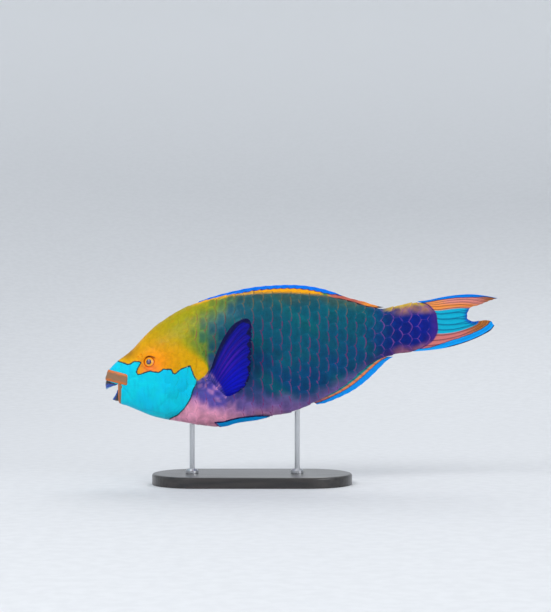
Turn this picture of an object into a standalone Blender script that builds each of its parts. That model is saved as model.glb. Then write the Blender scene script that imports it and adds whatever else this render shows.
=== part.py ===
"""A greenthroat parrotfish, life size, held over a flat base by two rods.

Metres, +Z up. The head points to -X, the left side faces -Y, and the origin is the centre of the
base's underside. The fish swims level with its nose a little low, its mouth open, its pectoral fins
raised, and its other fins folded close.
"""

import math

import bmesh
import bpy
import numpy as np
from mathutils import Matrix, Vector

# The fish's length in metres, from the beak to the tip of the tail. The outlines below are drawn in
# millimetres of a fish this long, and heights count from the floor that the base stands on.
TOTAL_LENGTH = 0.55
MM = TOTAL_LENGTH / 550
BEAK_TIP_X = -206 * MM
GAP = 0.3 * MM

# Where the body is parted, along X.
GILL_X = -78 * MM
STALK_X = 185 * MM
FIN_ROOT_X = 246 * MM

# Side outlines of the body: (x, z) in millimetres, from the snout to the tail.
BACK_KEYS = [
    (-204.4, 151.0), (-202, 157), (-197, 163.5), (-187.6, 172.4), (-177.8, 179.6), (-166.6, 189),
    (-154, 203), (-140, 216.8), (-123, 229.4), (-103.6, 241.6), (-79.8, 252.4), (-51.8, 260.8),
    (-16.8, 267), (25.2, 269), (67.2, 268.2), (102.2, 264.1), (137.2, 255.3), (165.2, 247.6),
    (186.2, 245.7), (207.2, 250.6), (228.2, 253.8), (257.6, 252.6),
]
BELLY_KEYS = [
    (-204.4, 146), (-198, 134), (-190, 120.5), (-184.8, 113.3), (-175, 109.3), (-156.8, 101.7),
    (-140, 95), (-121.8, 90.5), (-100.8, 87), (-72.8, 82.2), (-50.4, 80.2), (-16.8, 88.6),
    (11.2, 94.2), (32.2, 95.6), (53.2, 99.6), (84, 112.2), (102.2, 121.4), (123.2, 133.4),
    (137.2, 143.6), (151.2, 156), (165.2, 167.4), (179.2, 175.2), (193.2, 179.4), (228.2, 185.6),
    (257.6, 192.6),
]
# Half the body's width, where its widest level lies between belly and back, and how square its
# upper and lower halves are (2 is an ellipse).
WIDTH_KEYS = [
    (-204.4, 5), (-201.6, 8.8), (-197, 12), (-190, 15), (-181, 18), (-163, 22.5), (-142, 27),
    (-121, 31), (-100, 34.5), (-72, 37.5), (-45, 39), (-15, 39), (12, 38), (40, 36), (67, 33),
    (95, 28.6), (123, 24), (151, 19), (179, 14.6), (207, 11.2), (228, 7.8), (246, 4.4), (257.6, 3),
]
LEVEL_KEYS = [(-204, 0.5), (-180, 0.55), (-140, 0.5), (-90, 0.46), (0, 0.5), (120, 0.52), (257, 0.5)]
UPPER_KEYS = [(-204, 2.3), (-170, 2.1), (-110, 2.0), (0, 1.95), (120, 1.9), (257, 2.0)]
LOWER_KEYS = [(-204, 2.3), (-170, 2.2), (-110, 2.15), (0, 2.05), (120, 1.85), (257, 2.0)]

# The gill cover's rear edge and the tail fin's root, as x at each height: (z, x).
GILL_KEYS = [
    (84, -121), (90.5, -115.5), (97, -106), (103, -98.5), (111.4, -90.7), (120, -84.9), (131, -79.9),
    (140.6, -75.7), (147.5, -71.6), (154.4, -63.3), (161.3, -59.3), (171, -60.7), (182, -65.6),
    (195.8, -72.1), (209.6, -77.6), (230, -81.4), (254, -83),
]
TAIL_ROOT_KEYS = [
    (184, 224), (190.6, 238), (197.6, 249), (208.8, 257.5), (227, 259), (243.8, 253.5), (252.2, 242),
    (257, 226),
]
HEAD_WARP_REACH = 84 * MM
TRUNK_WARP_REACH = 78 * MM
STALK_WARP_REACH = 46 * MM
GILL_FLARE = 1.3 * MM
FLARE_LENGTH = 12 * MM

# The mouth: its corner, the flat that it opens along, and the lips' sizes.
MOUTH_CORNER = (-184.1 * MM, 139.1 * MM)
UPPER_JAW_FRONT = (-208.6 * MM, 146.3 * MM)
LOWER_JAW_FRONT_X = -185.6 * MM
CHIN_Z = 113 * MM
LIP_CORNER = (-175 * MM, 144.6 * MM)
LIP_FRONT = (-199.2 * MM, 152.5 * MM)
LIP_HALF_SPAN = 14.6 * MM
UPPER_LIP_HEIGHT = 14.4 * MM
LIP_PROUD = 1.1 * MM
LOWER_LIP_RADIUS = 3.2 * MM
POCKET_DEPTH = 15 * MM
POCKET_MIDDLE_Z = 131 * MM
POCKET_HALF_WIDTH = 8.2 * MM
POCKET_HALF_HEIGHT = 9.6 * MM

# The beak: each plate is a curved wall round a middle of its own.
BEAK_THICKNESS = 2.6 * MM
TEETH = 8
UPPER_BEAK_X = -188 * MM
UPPER_BEAK_REACH = 15.8 * MM
UPPER_BEAK_HALF_SPAN = 11.2 * MM
UPPER_BEAK_HEIGHT = 11.6 * MM
LOWER_BEAK_TOP = 135.5 * MM
LOWER_BEAK_DROP = 19.6 * MM
LOWER_BEAK_HALF_SPAN = 9.6 * MM
LOWER_BEAK_HEIGHT = 9.2 * MM

# The eyes and nostrils.
EYE_X = -140.4 * MM
EYE_Z = 170.8 * MM
EYE_RADIUS = 9.5 * MM
EYE_PROUD = 3.4 * MM
RIM_THICKNESS = 1.3 * MM
NOSTRILS = [(-157.5 * MM, 178.3 * MM, 1.2 * MM), (-153.5 * MM, 181 * MM, 1.6 * MM)]

# The stand.
BASE_LENGTH = 280 * MM
BASE_WIDTH = 124 * MM
BASE_THICKNESS = 15 * MM
BASE_BEVEL = 3 * MM
ROD_RADIUS = 3.5 * MM
ROD_FOOT_RADIUS = 9 * MM
ROD_FOOT_HEIGHT = 6 * MM
ROD_X = {"front": -84 * MM, "rear": 63 * MM}

COLOURS = {
    "yellow_head": ((0.75, 0.42, 0.01), 0.4),
    "teal_body": ((0.01, 0.13, 0.17), 0.4),
    "violet_tail": ((0.03, 0.03, 0.25), 0.4),
    "orange_blue_fin": ((0.75, 0.25, 0.08), 0.45),
    "deep_blue_fin": ((0.01, 0.02, 0.35), 0.4),
    "bright_blue_fin": ((0.0, 0.25, 0.75), 0.45),
    "blue_beak": ((0.01, 0.1, 0.35), 0.25),
    "orange_eye": ((0.85, 0.35, 0.01), 0.1),
    "black_base": ((0.02, 0.02, 0.022), 0.35),
    "steel_rod": ((0.6, 0.6, 0.62), 0.25),
}


def smooth_line(keys, unit=MM):
    """A smooth function through key points, which holds its end values beyond them."""
    at, value = np.array(keys, float).T * unit
    step = np.diff(at)
    rise = np.diff(value) / step
    slope = np.empty_like(at)
    slope[0], slope[-1] = rise[0], rise[-1]
    slope[1:-1] = (step[1:] * rise[:-1] + step[:-1] * rise[1:]) / (step[1:] + step[:-1])

    def line(x):
        x = min(max(x, at[0]), at[-1])
        i = min(int(np.searchsorted(at, x, "right")) - 1, len(step) - 1)
        t = (x - at[i]) / step[i]
        return float(
            value[i] * (1 + 2 * t) * (1 - t) ** 2
            + slope[i] * step[i] * t * (1 - t) ** 2
            + value[i + 1] * t * t * (3 - 2 * t)
            + slope[i + 1] * step[i] * t * t * (t - 1)
        )

    return line


def shares(keys):
    """A smooth function of x in metres through keys of (x in millimetres, plain number)."""
    line = smooth_line([(x, value) for x, value in keys])
    return lambda x: line(x) / MM


back = smooth_line(BACK_KEYS)
belly = smooth_line(BELLY_KEYS)
half_width = smooth_line(WIDTH_KEYS)
level_share = shares(LEVEL_KEYS)
upper_power = shares(UPPER_KEYS)
lower_power = shares(LOWER_KEYS)
gill_edge = smooth_line(GILL_KEYS)
tail_root = smooth_line(TAIL_ROOT_KEYS)


def blend(a, b, t):
    return a + (b - a) * t


def soft_step(t):
    t = min(max(t, 0.0), 1.0)
    return t * t * (3 - 2 * t)


def widest_level(x):
    return blend(belly(x), back(x), level_share(x))


def section_point(x, angle):
    """(y, z) on the body's right side at x; angle runs from -90 degrees at the belly to 90."""
    upper = angle > 0
    power = upper_power(x) if upper else lower_power(x)
    reach = back(x) - widest_level(x) if upper else widest_level(x) - belly(x)
    y = half_width(x) * abs(math.cos(angle)) ** (2 / power)
    z = widest_level(x) + math.copysign(reach * abs(math.sin(angle)) ** (2 / power), angle)
    return y, z


def flank(x, z):
    """Half the body's width at x and height z, or 0 above the back and below the belly."""
    middle = widest_level(x)
    upper = z > middle
    power = upper_power(x) if upper else lower_power(x)
    reach = back(x) - middle if upper else middle - belly(x)
    share = abs(z - middle) / reach
    return 0.0 if share >= 1 else half_width(x) * (1 - share**power) ** (1 / power)


def underside(x, y):
    """Height of the body's lower surface at x and y."""
    middle, power = widest_level(x), lower_power(x)
    share = min(abs(y) / half_width(x), 1.0)
    return middle - (middle - belly(x)) * (1 - share**power) ** (1 / power)


def even_angles(x, count):
    """Angles that space count + 1 points evenly round one side of the section at x."""
    fine = [math.radians(a) for a in np.linspace(-90, 90, 181)]
    points = np.array([section_point(x, a) for a in fine])
    length = np.concatenate([[0], np.cumsum(np.linalg.norm(np.diff(points, axis=0), axis=1))])
    return np.interp(np.linspace(0, length[-1], count + 1), length, fine)


def body_ring(station, count, warp=None, swelling=None):
    """A closed ring of points round the body: up the right side from the belly, then down the left.

    warp(station, z) gives a point's own x, and swelling(x, z) how far it stands out sideways.
    """
    right = []
    for angle in even_angles(station, count):
        x = station
        y, z = section_point(x, angle)
        for _ in range(6 if warp else 0):
            x = warp(station, z)
            y, z = section_point(x, angle)
        if swelling and 0 < y:
            y += swelling(x, z) * min(1.0, y / half_width(x) * 1.6)
        right.append(Vector((x, y, z)))
    right[0].y = right[-1].y = 0.0
    left = [Vector((p.x, -p.y, p.z)) for p in reversed(right[1:-1])]
    return right + left


def add_object(name, bm, colour, smooth_degrees=35):
    """Makes an object of the closed mesh bm, shaded smooth except at its sharp edges."""
    bmesh.ops.recalc_face_normals(bm, faces=bm.faces)
    if bm.calc_volume(signed=True) < 0:
        bmesh.ops.reverse_faces(bm, faces=bm.faces)
    mesh = bpy.data.meshes.new(name)
    bm.to_mesh(mesh)
    bm.free()
    mesh.shade_smooth()
    mesh.set_sharp_from_angle(angle=math.radians(smooth_degrees))
    mesh.materials.append(material(colour))
    made = bpy.data.objects.new(name, mesh)
    bpy.context.scene.collection.objects.link(made)
    return made


def material(name):
    if name in bpy.data.materials:
        return bpy.data.materials[name]
    made = bpy.data.materials.new(name)
    made.use_nodes = True
    colour, roughness = COLOURS[name]
    shader = made.node_tree.nodes["Principled BSDF"]
    shader.inputs["Base Color"].default_value = (*colour, 1)
    shader.inputs["Roughness"].default_value = roughness
    shader.inputs["Metallic"].default_value = 1.0 if name == "steel_rod" else 0.0
    return made


def bridge(bm, a, b):
    """Faces between two rings of as many vertices."""
    for i in range(len(a)):
        j = (i + 1) % len(a)
        bm.faces.new((a[i], a[j], b[j], b[i]))


def rung_cap(bm, ring):
    """Closes a ring that is alike left and right with rungs across it, so a bent end stays clean."""
    half = len(ring) // 2
    for i in range(half):
        right = (ring[i], ring[i + 1])
        left = (ring[-i] if i else ring[0], ring[-(i + 1)])
        corners = list(dict.fromkeys((right[0], right[1], left[1], left[0])))
        bm.faces.new(corners)


def loft(rings, rungs=False):
    """A bmesh of a closed tube through rings, capped with rungs or with one flat face."""
    bm = bmesh.new()
    made = [[bm.verts.new(p) for p in ring] for ring in rings]
    for a, b in zip(made, made[1:]):
        bridge(bm, a, b)
    for ring in (made[0], made[-1]):
        if rungs:
            rung_cap(bm, ring)
        else:
            bm.faces.new(ring)
    return bm


def combine(target, operand, operation):
    """Joins operand to target or cuts it away, and removes operand."""
    modifier = target.modifiers.new("combine", "BOOLEAN")
    modifier.object = operand
    modifier.operation = operation
    modifier.solver = "EXACT"
    graph = bpy.context.evaluated_depsgraph_get()
    mesh = bpy.data.meshes.new_from_object(target.evaluated_get(graph))
    target.modifiers.remove(modifier)
    old, target.data = target.data, mesh
    mesh.name = target.name
    bpy.data.meshes.remove(old)
    bpy.data.objects.remove(operand)


def keep_largest(target):
    """Leaves only the largest closed surface of target."""
    bm = bmesh.new()
    bm.from_mesh(target.data)
    bmesh.ops.remove_doubles(bm, verts=bm.verts, dist=0.00002)
    bm.verts.ensure_lookup_table()
    left, shells = set(bm.verts), []
    while left:
        shell, edge = set(), [left.pop()]
        while edge:
            vert = edge.pop()
            shell.add(vert)
            near = {e.other_vert(vert) for e in vert.link_edges} & left
            left -= near
            edge.extend(near)
        shells.append(shell)
    shells.sort(key=len)
    bmesh.ops.delete(bm, geom=[v for shell in shells[:-1] for v in shell], context="VERTS")
    bm.to_mesh(target.data)
    bm.free()
    target.data.set_sharp_from_angle(angle=math.radians(35))


def warp_to(edge, edge_x, reach):
    """A warp that lays the station at edge_x along the line edge(z), and fades out over reach."""

    def warp(station, z):
        share = max(0.0, 1 - abs(station - edge_x) / reach)
        return station + share * (edge(z) - edge_x)

    return warp


def gill_swelling(x, z):
    """The gill cover stands out towards its rear edge, but not at the nape or under the throat."""
    along = soft_step(1 - (gill_edge(z) - x) / FLARE_LENGTH)
    upright = soft_step((z - 90 * MM) / (14 * MM)) * soft_step((206 * MM - z) / (26 * MM))
    return GILL_FLARE * along * upright


def spaced(start, end, count, crowd=1.0):
    """Stations from start to end; crowd over 1 sets them closer together at the start."""
    return [start + (end - start) * (i / count) ** crowd for i in range(count + 1)]


SIDES = 24
STALK_SIDES = 14


def head_shell():
    """The head with its mouth shut and no features, from the snout to the gill cover's edge."""
    warp = warp_to(gill_edge, GILL_X, HEAD_WARP_REACH)
    front = spaced(BEAK_TIP_X + 1.6 * MM, -163 * MM, 9, 1.7)
    rear = spaced(-163 * MM, GILL_X, 12, 1.0)[1:]
    rings = [body_ring(u, SIDES, warp, gill_swelling) for u in front + rear]
    for point in rings[-1]:
        point.x -= GAP
    return loft(rings, rungs=True)


def plan_arc(half_angle, count):
    return [math.radians(a) for a in np.linspace(-half_angle, half_angle, count)]


def oval(centre, out, half_height, half_depth, sides, up=Vector((0, 0, 1))):
    """An oval ring in the plane of the directions out and up, round centre."""
    angles = [2 * math.pi * i / sides for i in range(sides)]
    return [centre + out * half_depth * math.cos(a) + up * half_height * math.sin(a) for a in angles]


def upper_lip():
    """A thick band round the snout over the upper beak, ending in a rounded corner each side."""
    (corner_x, corner_z), (front_x, front_z) = LIP_CORNER, LIP_FRONT
    rings = []
    for angle in plan_arc(101, 25):
        turn = math.cos(angle)
        x = blend(corner_x, front_x, turn) if turn > 0 else corner_x - turn * 8 * MM
        y = LIP_HALF_SPAN * math.sin(angle) * (1 + 0.03 * abs(math.sin(angle)))
        z = blend(corner_z, front_z, max(turn, 0.0))
        end = soft_step((math.radians(101.01) - abs(angle)) / math.radians(9))
        height = UPPER_LIP_HEIGHT / 2 * blend(0.55, 1.0, end)
        out = Vector((-math.cos(angle) * 0.9, math.sin(angle), 0)).normalized()
        depth = blend(1.6, 4.2, end) * MM
        centre = Vector((x, y, z)) + out * LIP_PROUD
        rings.append(oval(centre, out, height, depth, 10))
    return loft(rings)


def lower_lip():
    """A rounded roll round the front of the dropped lower jaw, from one mouth corner to the other."""
    rings = []
    middle = Vector((0, 0, 136 * MM))
    for share in np.linspace(-1, 1, 25):
        angle = math.radians(blend(-90, -9, abs(share)))
        y, z = section_point(LOWER_JAW_FRONT_X + 1 * MM, angle)
        rim = Vector((0, math.copysign(y, share), z))
        out = (rim - middle).normalized()
        end = soft_step((1.001 - abs(share)) / 0.12)
        radius = LOWER_LIP_RADIUS * blend(0.7, 1.0, end)
        centre = Vector((LOWER_JAW_FRONT_X + 2.4 * MM, 0, 0)) + rim - out * 1.5 * MM
        rings.append(oval(centre, out, radius * 1.2, radius * 0.9, 8, Vector((1, 0, 0))))
    return loft(rings)


def mouth_wedge():
    """The open space in front of the lower jaw and under the upper one, as a prism across Y."""
    (corner_x, corner_z), (front_x, front_z) = MOUTH_CORNER, UPPER_JAW_FRONT
    side = [
        (corner_x, corner_z), (front_x - 10 * MM, front_z + 3.1 * MM),
        (front_x - 10 * MM, 90 * MM), (LOWER_JAW_FRONT_X + 1 * MM, 90 * MM),
        (LOWER_JAW_FRONT_X, CHIN_Z), (LOWER_JAW_FRONT_X, corner_z - 6 * MM),
    ]
    half_span = 40 * MM
    return loft([[Vector((x, y, z)) for x, z in side] for y in (-half_span, half_span)])


def mouth_pocket():
    """The inside of the mouth, behind the lower lip and over the tongue."""
    rings = []
    for depth, shrink in ((-6, 1.0), (2, 1.0), (9, 0.82), (POCKET_DEPTH / MM, 0.4)):
        x = LOWER_JAW_FRONT_X + depth * MM
        ring = []
        for i in range(16):
            angle = 2 * math.pi * i / 16
            y = POCKET_HALF_WIDTH * math.sin(angle) * shrink
            z = POCKET_MIDDLE_Z + POCKET_HALF_HEIGHT * math.cos(angle) * shrink + depth * 0.15 * MM
            ring.append(Vector((x, y, z)))
        rings.append(ring)
    return loft(rings)


def eye_centre(side):
    surface = flank(EYE_X, EYE_Z)
    return Vector((EYE_X, side * (surface + EYE_PROUD - EYE_RADIUS), EYE_Z))


def ball(centre, radius, across=20, along=12):
    bm = bmesh.new()
    bmesh.ops.create_uvsphere(bm, u_segments=across, v_segments=along, radius=radius)
    bmesh.ops.rotate(bm, verts=bm.verts, matrix=Matrix.Rotation(math.pi / 2, 3, "X"))
    bmesh.ops.translate(bm, verts=bm.verts, vec=centre)
    return bm


def eye_rim(side):
    """The lids: a raised ring round an eye that leans with the side of the head, thickest on top."""
    centre = eye_centre(side)
    out = skin_normal(EYE_X, EYE_Z, side)
    depth = EYE_RADIUS - EYE_PROUD
    opening = math.sqrt(EYE_RADIUS**2 - depth**2)
    level = centre + out * depth
    along = out.cross(Vector((0, 0, 1))).normalized()
    upright = along.cross(out).normalized()
    bm = bmesh.new()
    rings = []
    for i in range(24):
        angle = 2 * math.pi * i / 24
        radial = along * math.cos(angle) + upright * math.sin(angle)
        thickness = RIM_THICKNESS * (1 + 0.3 * math.sin(angle))
        middle = level + radial * (opening + thickness * 0.8)
        points = oval(middle, radial, thickness * 0.9, thickness * 1.2, 8, out)
        rings.append([bm.verts.new(p) for p in points])
    for a, b in zip(rings, rings[1:] + rings[:1]):
        bridge(bm, a, b)
    return bm


def skin_normal(x, z, side):
    """The outward direction of the flank at x and z; side is 1 on the right, -1 on the left."""
    step = 1 * MM
    slope_x = (flank(x + step, z) - flank(x - step, z)) / (2 * step)
    slope_z = (flank(x, z + step) - flank(x, z - step)) / (2 * step)
    return Vector((-slope_x, side, -slope_z)).normalized()


def make_head():
    head = add_object("head", head_shell(), "yellow_head")
    steps = [
        (upper_lip(), "UNION"), (mouth_wedge(), "DIFFERENCE"), (lower_lip(), "UNION"),
        (mouth_pocket(), "DIFFERENCE"),
    ]
    for side in (1, -1):
        steps.append((eye_rim(side), "UNION"))
        steps.append((ball(eye_centre(side), EYE_RADIUS + GAP), "DIFFERENCE"))
        for x, z, radius in NOSTRILS:
            place = Vector((x, side * (flank(x, z) + 0.2 * MM), z))
            steps.append((ball(place, radius, 8, 6), "DIFFERENCE"))
    for bm, operation in steps:
        combine(head, add_object("operand", bm, "yellow_head"), operation)
    keep_largest(head)
    return head


def make_eyes():
    for name, side in (("eye_right", 1), ("eye_left", -1)):
        add_object(name, ball(eye_centre(side), EYE_RADIUS), "orange_eye")


def jaw_flat(x):
    """Height of the upper jaw's flat underside, which the upper beak hangs from."""
    (corner_x, corner_z), (front_x, front_z) = MOUTH_CORNER, UPPER_JAW_FRONT
    return blend(corner_z, front_z, (x - corner_x) / (front_x - corner_x))


def tooth_bump(share):
    """0 to 1 along a cutting edge, one bump for each tooth."""
    return abs(math.sin(math.pi * share * TEETH))


def beak(name, place, columns=33, rows=5):
    """A tooth plate: a curved wall from place(angle share, height share, outer or inner)."""
    bm = bmesh.new()
    walls = []
    for outer in (True, False):
        grid = []
        for row in range(rows):
            line = [place(i / (columns - 1), row / (rows - 1), outer) for i in range(columns)]
            grid.append([bm.verts.new(p) for p in line])
        walls.append(grid)
    outer, inner = walls
    for grid in walls:
        for row in range(rows - 1):
            for i in range(columns - 1):
                a, b = grid[row][i], grid[row][i + 1]
                c, d = grid[row + 1][i + 1], grid[row + 1][i]
                bm.faces.new((a, b, c))
                bm.faces.new((a, c, d))
    rim = [(r, 0) for r in range(rows)] + [(rows - 1, i) for i in range(1, columns)]
    rim += [(r, columns - 1) for r in reversed(range(rows - 1))]
    rim += [(0, i) for i in reversed(range(1, columns - 1))]
    for (r0, i0), (r1, i1) in zip(rim, rim[1:] + rim[:1]):
        bm.faces.new((outer[r0][i0], outer[r1][i1], inner[r1][i1], inner[r0][i0]))
    return add_object(name, bm, "blue_beak", 50)


def upper_beak_point(share, down, outer):
    angle = math.radians(blend(-84, 84, share))
    inset = 0.0 if outer else BEAK_THICKNESS * blend(1.0, 0.45, down)
    bulge = 1.5 * MM * math.sin(math.pi * min(1, down * 0.9 + 0.1)) - 0.6 * MM
    x = UPPER_BEAK_X - (UPPER_BEAK_REACH + bulge - inset) * math.cos(angle)
    y = (UPPER_BEAK_HALF_SPAN + bulge - inset) * math.sin(angle)
    height = UPPER_BEAK_HEIGHT * blend(0.16, 1.0, math.cos(angle) ** 1.3)
    notch = 0.5 * MM * (1 - tooth_bump(share)) * (down > 0.99)
    x -= 1.2 * MM * down * math.cos(angle)
    return Vector((x, y, jaw_flat(x) - GAP - height * down + notch))


def lower_beak_point(share, ahead, outer):
    angle = math.radians(blend(-78, 78, share))
    inset = 0.0 if outer else BEAK_THICKNESS * blend(1.0, 0.45, ahead)
    bulge = 1.2 * MM * math.sin(math.pi * min(1, ahead * 0.9 + 0.1)) - 0.4 * MM
    y = (LOWER_BEAK_HALF_SPAN + bulge - inset) * math.sin(angle)
    z = LOWER_BEAK_TOP - (LOWER_BEAK_DROP + bulge - inset) * math.cos(angle)
    height = LOWER_BEAK_HEIGHT * blend(0.12, 1.0, math.cos(angle) ** 1.6)
    notch = 0.45 * MM * (1 - tooth_bump(share)) * (ahead > 0.99)
    z += 1.6 * MM * ahead * math.cos(angle)
    lip_front = LOWER_JAW_FRONT_X - 1.25 * MM
    return Vector((lip_front - GAP - height * ahead + notch, y, z))


def make_trunk():
    warp = warp_to(gill_edge, GILL_X, TRUNK_WARP_REACH)
    stations = spaced(GILL_X, STALK_X - GAP, 22)
    rings = [body_ring(u, SIDES, warp) for u in stations]
    front = body_ring(GILL_X, SIDES, warp)
    for point, base in zip(rings[0], front):
        point.x = base.x + GAP
    return add_object("torso", loft(rings, rungs=True), "teal_body")


def make_stalk():
    """The tail stalk, which ends in a rounded edge for the tail fin."""
    warp = warp_to(tail_root, FIN_ROOT_X, STALK_WARP_REACH)
    rings = [body_ring(u, STALK_SIDES, warp) for u in spaced(STALK_X, FIN_ROOT_X, 10)]
    return add_object("tail_stalk", loft(rings, rungs=True), "violet_tail")


def along_curve(keys):
    """A smooth path through (x, z) keys in millimetres, as a function of 0 to 1 by length."""
    points = np.array(keys, float)
    length = np.concatenate([[0], np.cumsum(np.linalg.norm(np.diff(points, axis=0), axis=1))])
    share = length / length[-1]
    line_x = smooth_line(list(zip(share, points[:, 0])), 1.0)
    line_z = smooth_line(list(zip(share, points[:, 1])), 1.0)
    return lambda t: np.array([line_x(t) * MM, line_z(t) * MM])


def from_point(path, start):
    """The path moved to begin at start, with its end left in place."""
    return lambda t: path(t) + (start - path(0)) * (1 - t)


def patch(root, tip, first, last):
    """A surface between four edge paths: root and tip run across it, first and last along it."""

    def at(r, s):
        edges = (1 - s) * root(r) + s * tip(r) + (1 - r) * first(s) + r * last(s)
        corners = (
            (1 - r) * (1 - s) * root(0) + r * (1 - s) * root(1)
            + (1 - r) * s * tip(0) + r * s * tip(1)
        )
        return edges - corners

    return at


def ray_columns(rays, ridge_share=0.17):
    """(place across the fin, height of the ridge there) for each column of points."""
    columns = []
    for i in range(rays):
        middle, pitch = i / (rays - 1), 1 / (rays - 1)
        if i:
            columns.append((middle - pitch * ridge_share, 0.0))
        columns.append((middle, 1.0))
        if i < rays - 1:
            columns.append((middle + pitch * ridge_share, 0.0))
    return columns


def fin(name, colour, point, rays, steps, root_half, tip_half, ridge, clear=None, side=1):
    """A fin: a thin closed sheet on the surface point(r, s), with its rays raised on both faces.

    root_half and tip_half are half its thickness at the root and the tip, and ridge how far a ray
    stands out. clear(position) moves a point that would be in the body.
    """
    columns = ray_columns(rays)
    bm = bmesh.new()
    size = (len(columns) - 1, steps)
    bmesh.ops.create_grid(bm, x_segments=size[0], y_segments=size[1], size=0.5)
    bmesh.ops.triangulate(bm, faces=bm.faces[:])
    other = bmesh.ops.duplicate(bm, geom=bm.verts[:] + bm.edges[:] + bm.faces[:])["geom"]
    copies = {v for v in other if isinstance(v, bmesh.types.BMVert)}
    bmesh.ops.reverse_faces(bm, faces=[f for f in other if isinstance(f, bmesh.types.BMFace)])
    rims = [e for e in bm.edges if e.is_boundary]
    bmesh.ops.bridge_loops(bm, edges=rims)
    for vert in bm.verts:
        r, lift = columns[round((vert.co.x + 0.5) * size[0])]
        s = round((vert.co.y + 0.5) * size[1]) / size[1]
        centre, normal = sheet_frame(point, r, s)
        half = blend(root_half, tip_half, soft_step(s * 1.6)) + ridge * lift * (1 - 0.6 * s)
        position = centre + normal * (half if vert in copies else -half)
        if clear:
            position = clear(position)
        vert.co = Vector((position.x, position.y * side, position.z))
    bmesh.ops.triangulate(bm, faces=[f for f in bm.faces if len(f.verts) > 3])
    return add_object(name, bm, colour, 25)


def sheet_frame(point, r, s):
    """The place and the normal of a fin's middle surface."""
    step = 0.01
    r0, r1 = max(r - step, 0), min(r + step, 1)
    s0, s1 = max(s - step, 0), min(s + step, 1)
    across = point(r1, s) - point(r0, s)
    along = point(r, s1) - point(r, s0)
    return point(r, s), across.cross(along).normalized()


def upright(flat):
    """A fin surface on the fish's middle plane, from one given as (x, z)."""

    def point(r, s):
        x, z = flat(r, s)
        return Vector((x, 0, z))

    return point


DORSAL_EDGE = [
    (-78, 254.2), (-66, 259.9), (-52, 264.8), (-38, 269), (-24, 272.1), (-10, 274.6), (4, 276.3),
    (18, 277.4), (32, 278.1), (46, 278.5), (60, 278.4), (74, 277.4), (88, 275.3), (102, 272.1),
    (116, 267.6), (130, 262), (144, 258.1), (158, 254.6), (168, 251.2), (184, 247.2),
]
ANAL_EDGE = [
    (88, 110.5), (102, 112.8), (116, 118.1), (130, 124.4), (144, 132.1), (158, 142.6), (168, 151.6),
    (179, 162.6), (190, 173.1), (198, 177.6),
]


def make_dorsal_fin():
    """Nine spines and ten soft rays in one low folded fin along the back."""
    outline = smooth_line(DORSAL_EDGE)

    def flat(r, s):
        base_x = blend(-78, 172, r) * MM
        lean = blend(4, 13, soft_step(r * 3)) * MM
        low = np.array([base_x, back(base_x) + GAP * 1.4])
        high = np.array([base_x + lean, 0.0])
        high[1] = max(outline(high[0]), back(high[0]) + 1.1 * MM)
        return low + (high - low) * s

    fin("dorsal_fin", "orange_blue_fin", upright(flat), 19, 3, 1.5 * MM, 0.35 * MM, 0.5 * MM)


def make_anal_fin():
    """Three spines and nine soft rays, folded half back."""
    outline = smooth_line(ANAL_EDGE)

    def flat(r, s):
        base_x = blend(86, 184, r) * MM
        lean = blend(5, 15, soft_step(r * 2)) * MM
        low = np.array([base_x, belly(base_x) - GAP * 1.4])
        high = np.array([base_x + lean, 0.0])
        high[1] = min(outline(high[0]), belly(high[0]) - 0.9 * MM)
        return low + (high - low) * s

    fin("anal_fin", "bright_blue_fin", upright(flat), 12, 4, 1.6 * MM, 0.35 * MM, 0.5 * MM)


TAIL_UPPER = [
    (226, 256.9), (242, 258.6), (263, 262.5), (284, 265.1), (305, 265.8), (326, 263.4), (343.6, 259.8),
]
TAIL_LOWER = [
    (226, 185.2), (249, 187), (270, 190), (291, 195.4), (308, 201.5), (323, 208.4), (335, 216),
    (339, 221.4),
]
TAIL_END = [
    (343.6, 259.8), (332, 256), (318, 250.2), (305.5, 246), (301.6, 238), (301.6, 231.5), (307, 227.8),
    (318, 228), (329, 228.9), (336, 226.6), (339, 221.4),
]
# Height of the ray's foot at each share of the way across the fin.
TAIL_ROOT_HEIGHTS = [(0, 256.9), (0.4, 243), (0.5, 235), (0.58, 227.5), (0.75, 210), (1, 185.2)]


def make_tail_fin():
    """Fourteen rays in a half folded fin whose outer rays run out into two points."""
    root_height = smooth_line(TAIL_ROOT_HEIGHTS, 1.0)

    def root(r):
        z = root_height(r) * MM
        return np.array([tail_root(z) + GAP * 1.3, z])

    first = from_point(along_curve(TAIL_UPPER), root(0))
    last = from_point(along_curve(TAIL_LOWER), root(1))
    flat = patch(root, along_curve(TAIL_END), first, last)
    fin("tail_fin", "orange_blue_fin", upright(flat), 14, 9, 1.9 * MM, 0.4 * MM, 0.6 * MM)


PECTORAL_ROOT = [(-61.5, 147.5), (-52, 138.5), (-42.5, 129), (-36, 122.5)]
PECTORAL_LEAD = [(-61.5, 147.5), (-56, 165), (-47.5, 189), (-36.5, 210), (-24, 225), (-13, 230.8)]
PECTORAL_END = [
    (-13, 230.8), (-7.5, 231.4), (-3.2, 228.5), (-1.1, 221), (-0.4, 208), (-0.6, 190), (-1.2, 172),
    (-2.4, 156), (-5.5, 143), (-11.5, 134.5), (-19, 128.5), (-27, 124.6),
]
PECTORAL_REAR = [(-36, 122.5), (-31.5, 122.8), (-27, 124.6)]
PECTORAL_SPREAD = math.radians(17)

# The pectoral fin's outline is drawn as it looks from the left, this far from the middle plane.
VIEW_DISTANCE = 2200 * MM
VIEW_CENTRE = (32.7 * MM, 248.8 * MM)


def as_drawn(x, z, y):
    """The (x, z) of a point y off the middle plane that looks as if it were at (x, z) on it."""
    nearer = 1 - y / VIEW_DISTANCE
    centre_x, centre_z = VIEW_CENTRE
    return centre_x + (x - centre_x) * nearer, centre_z + (z - centre_z) * nearer


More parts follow.
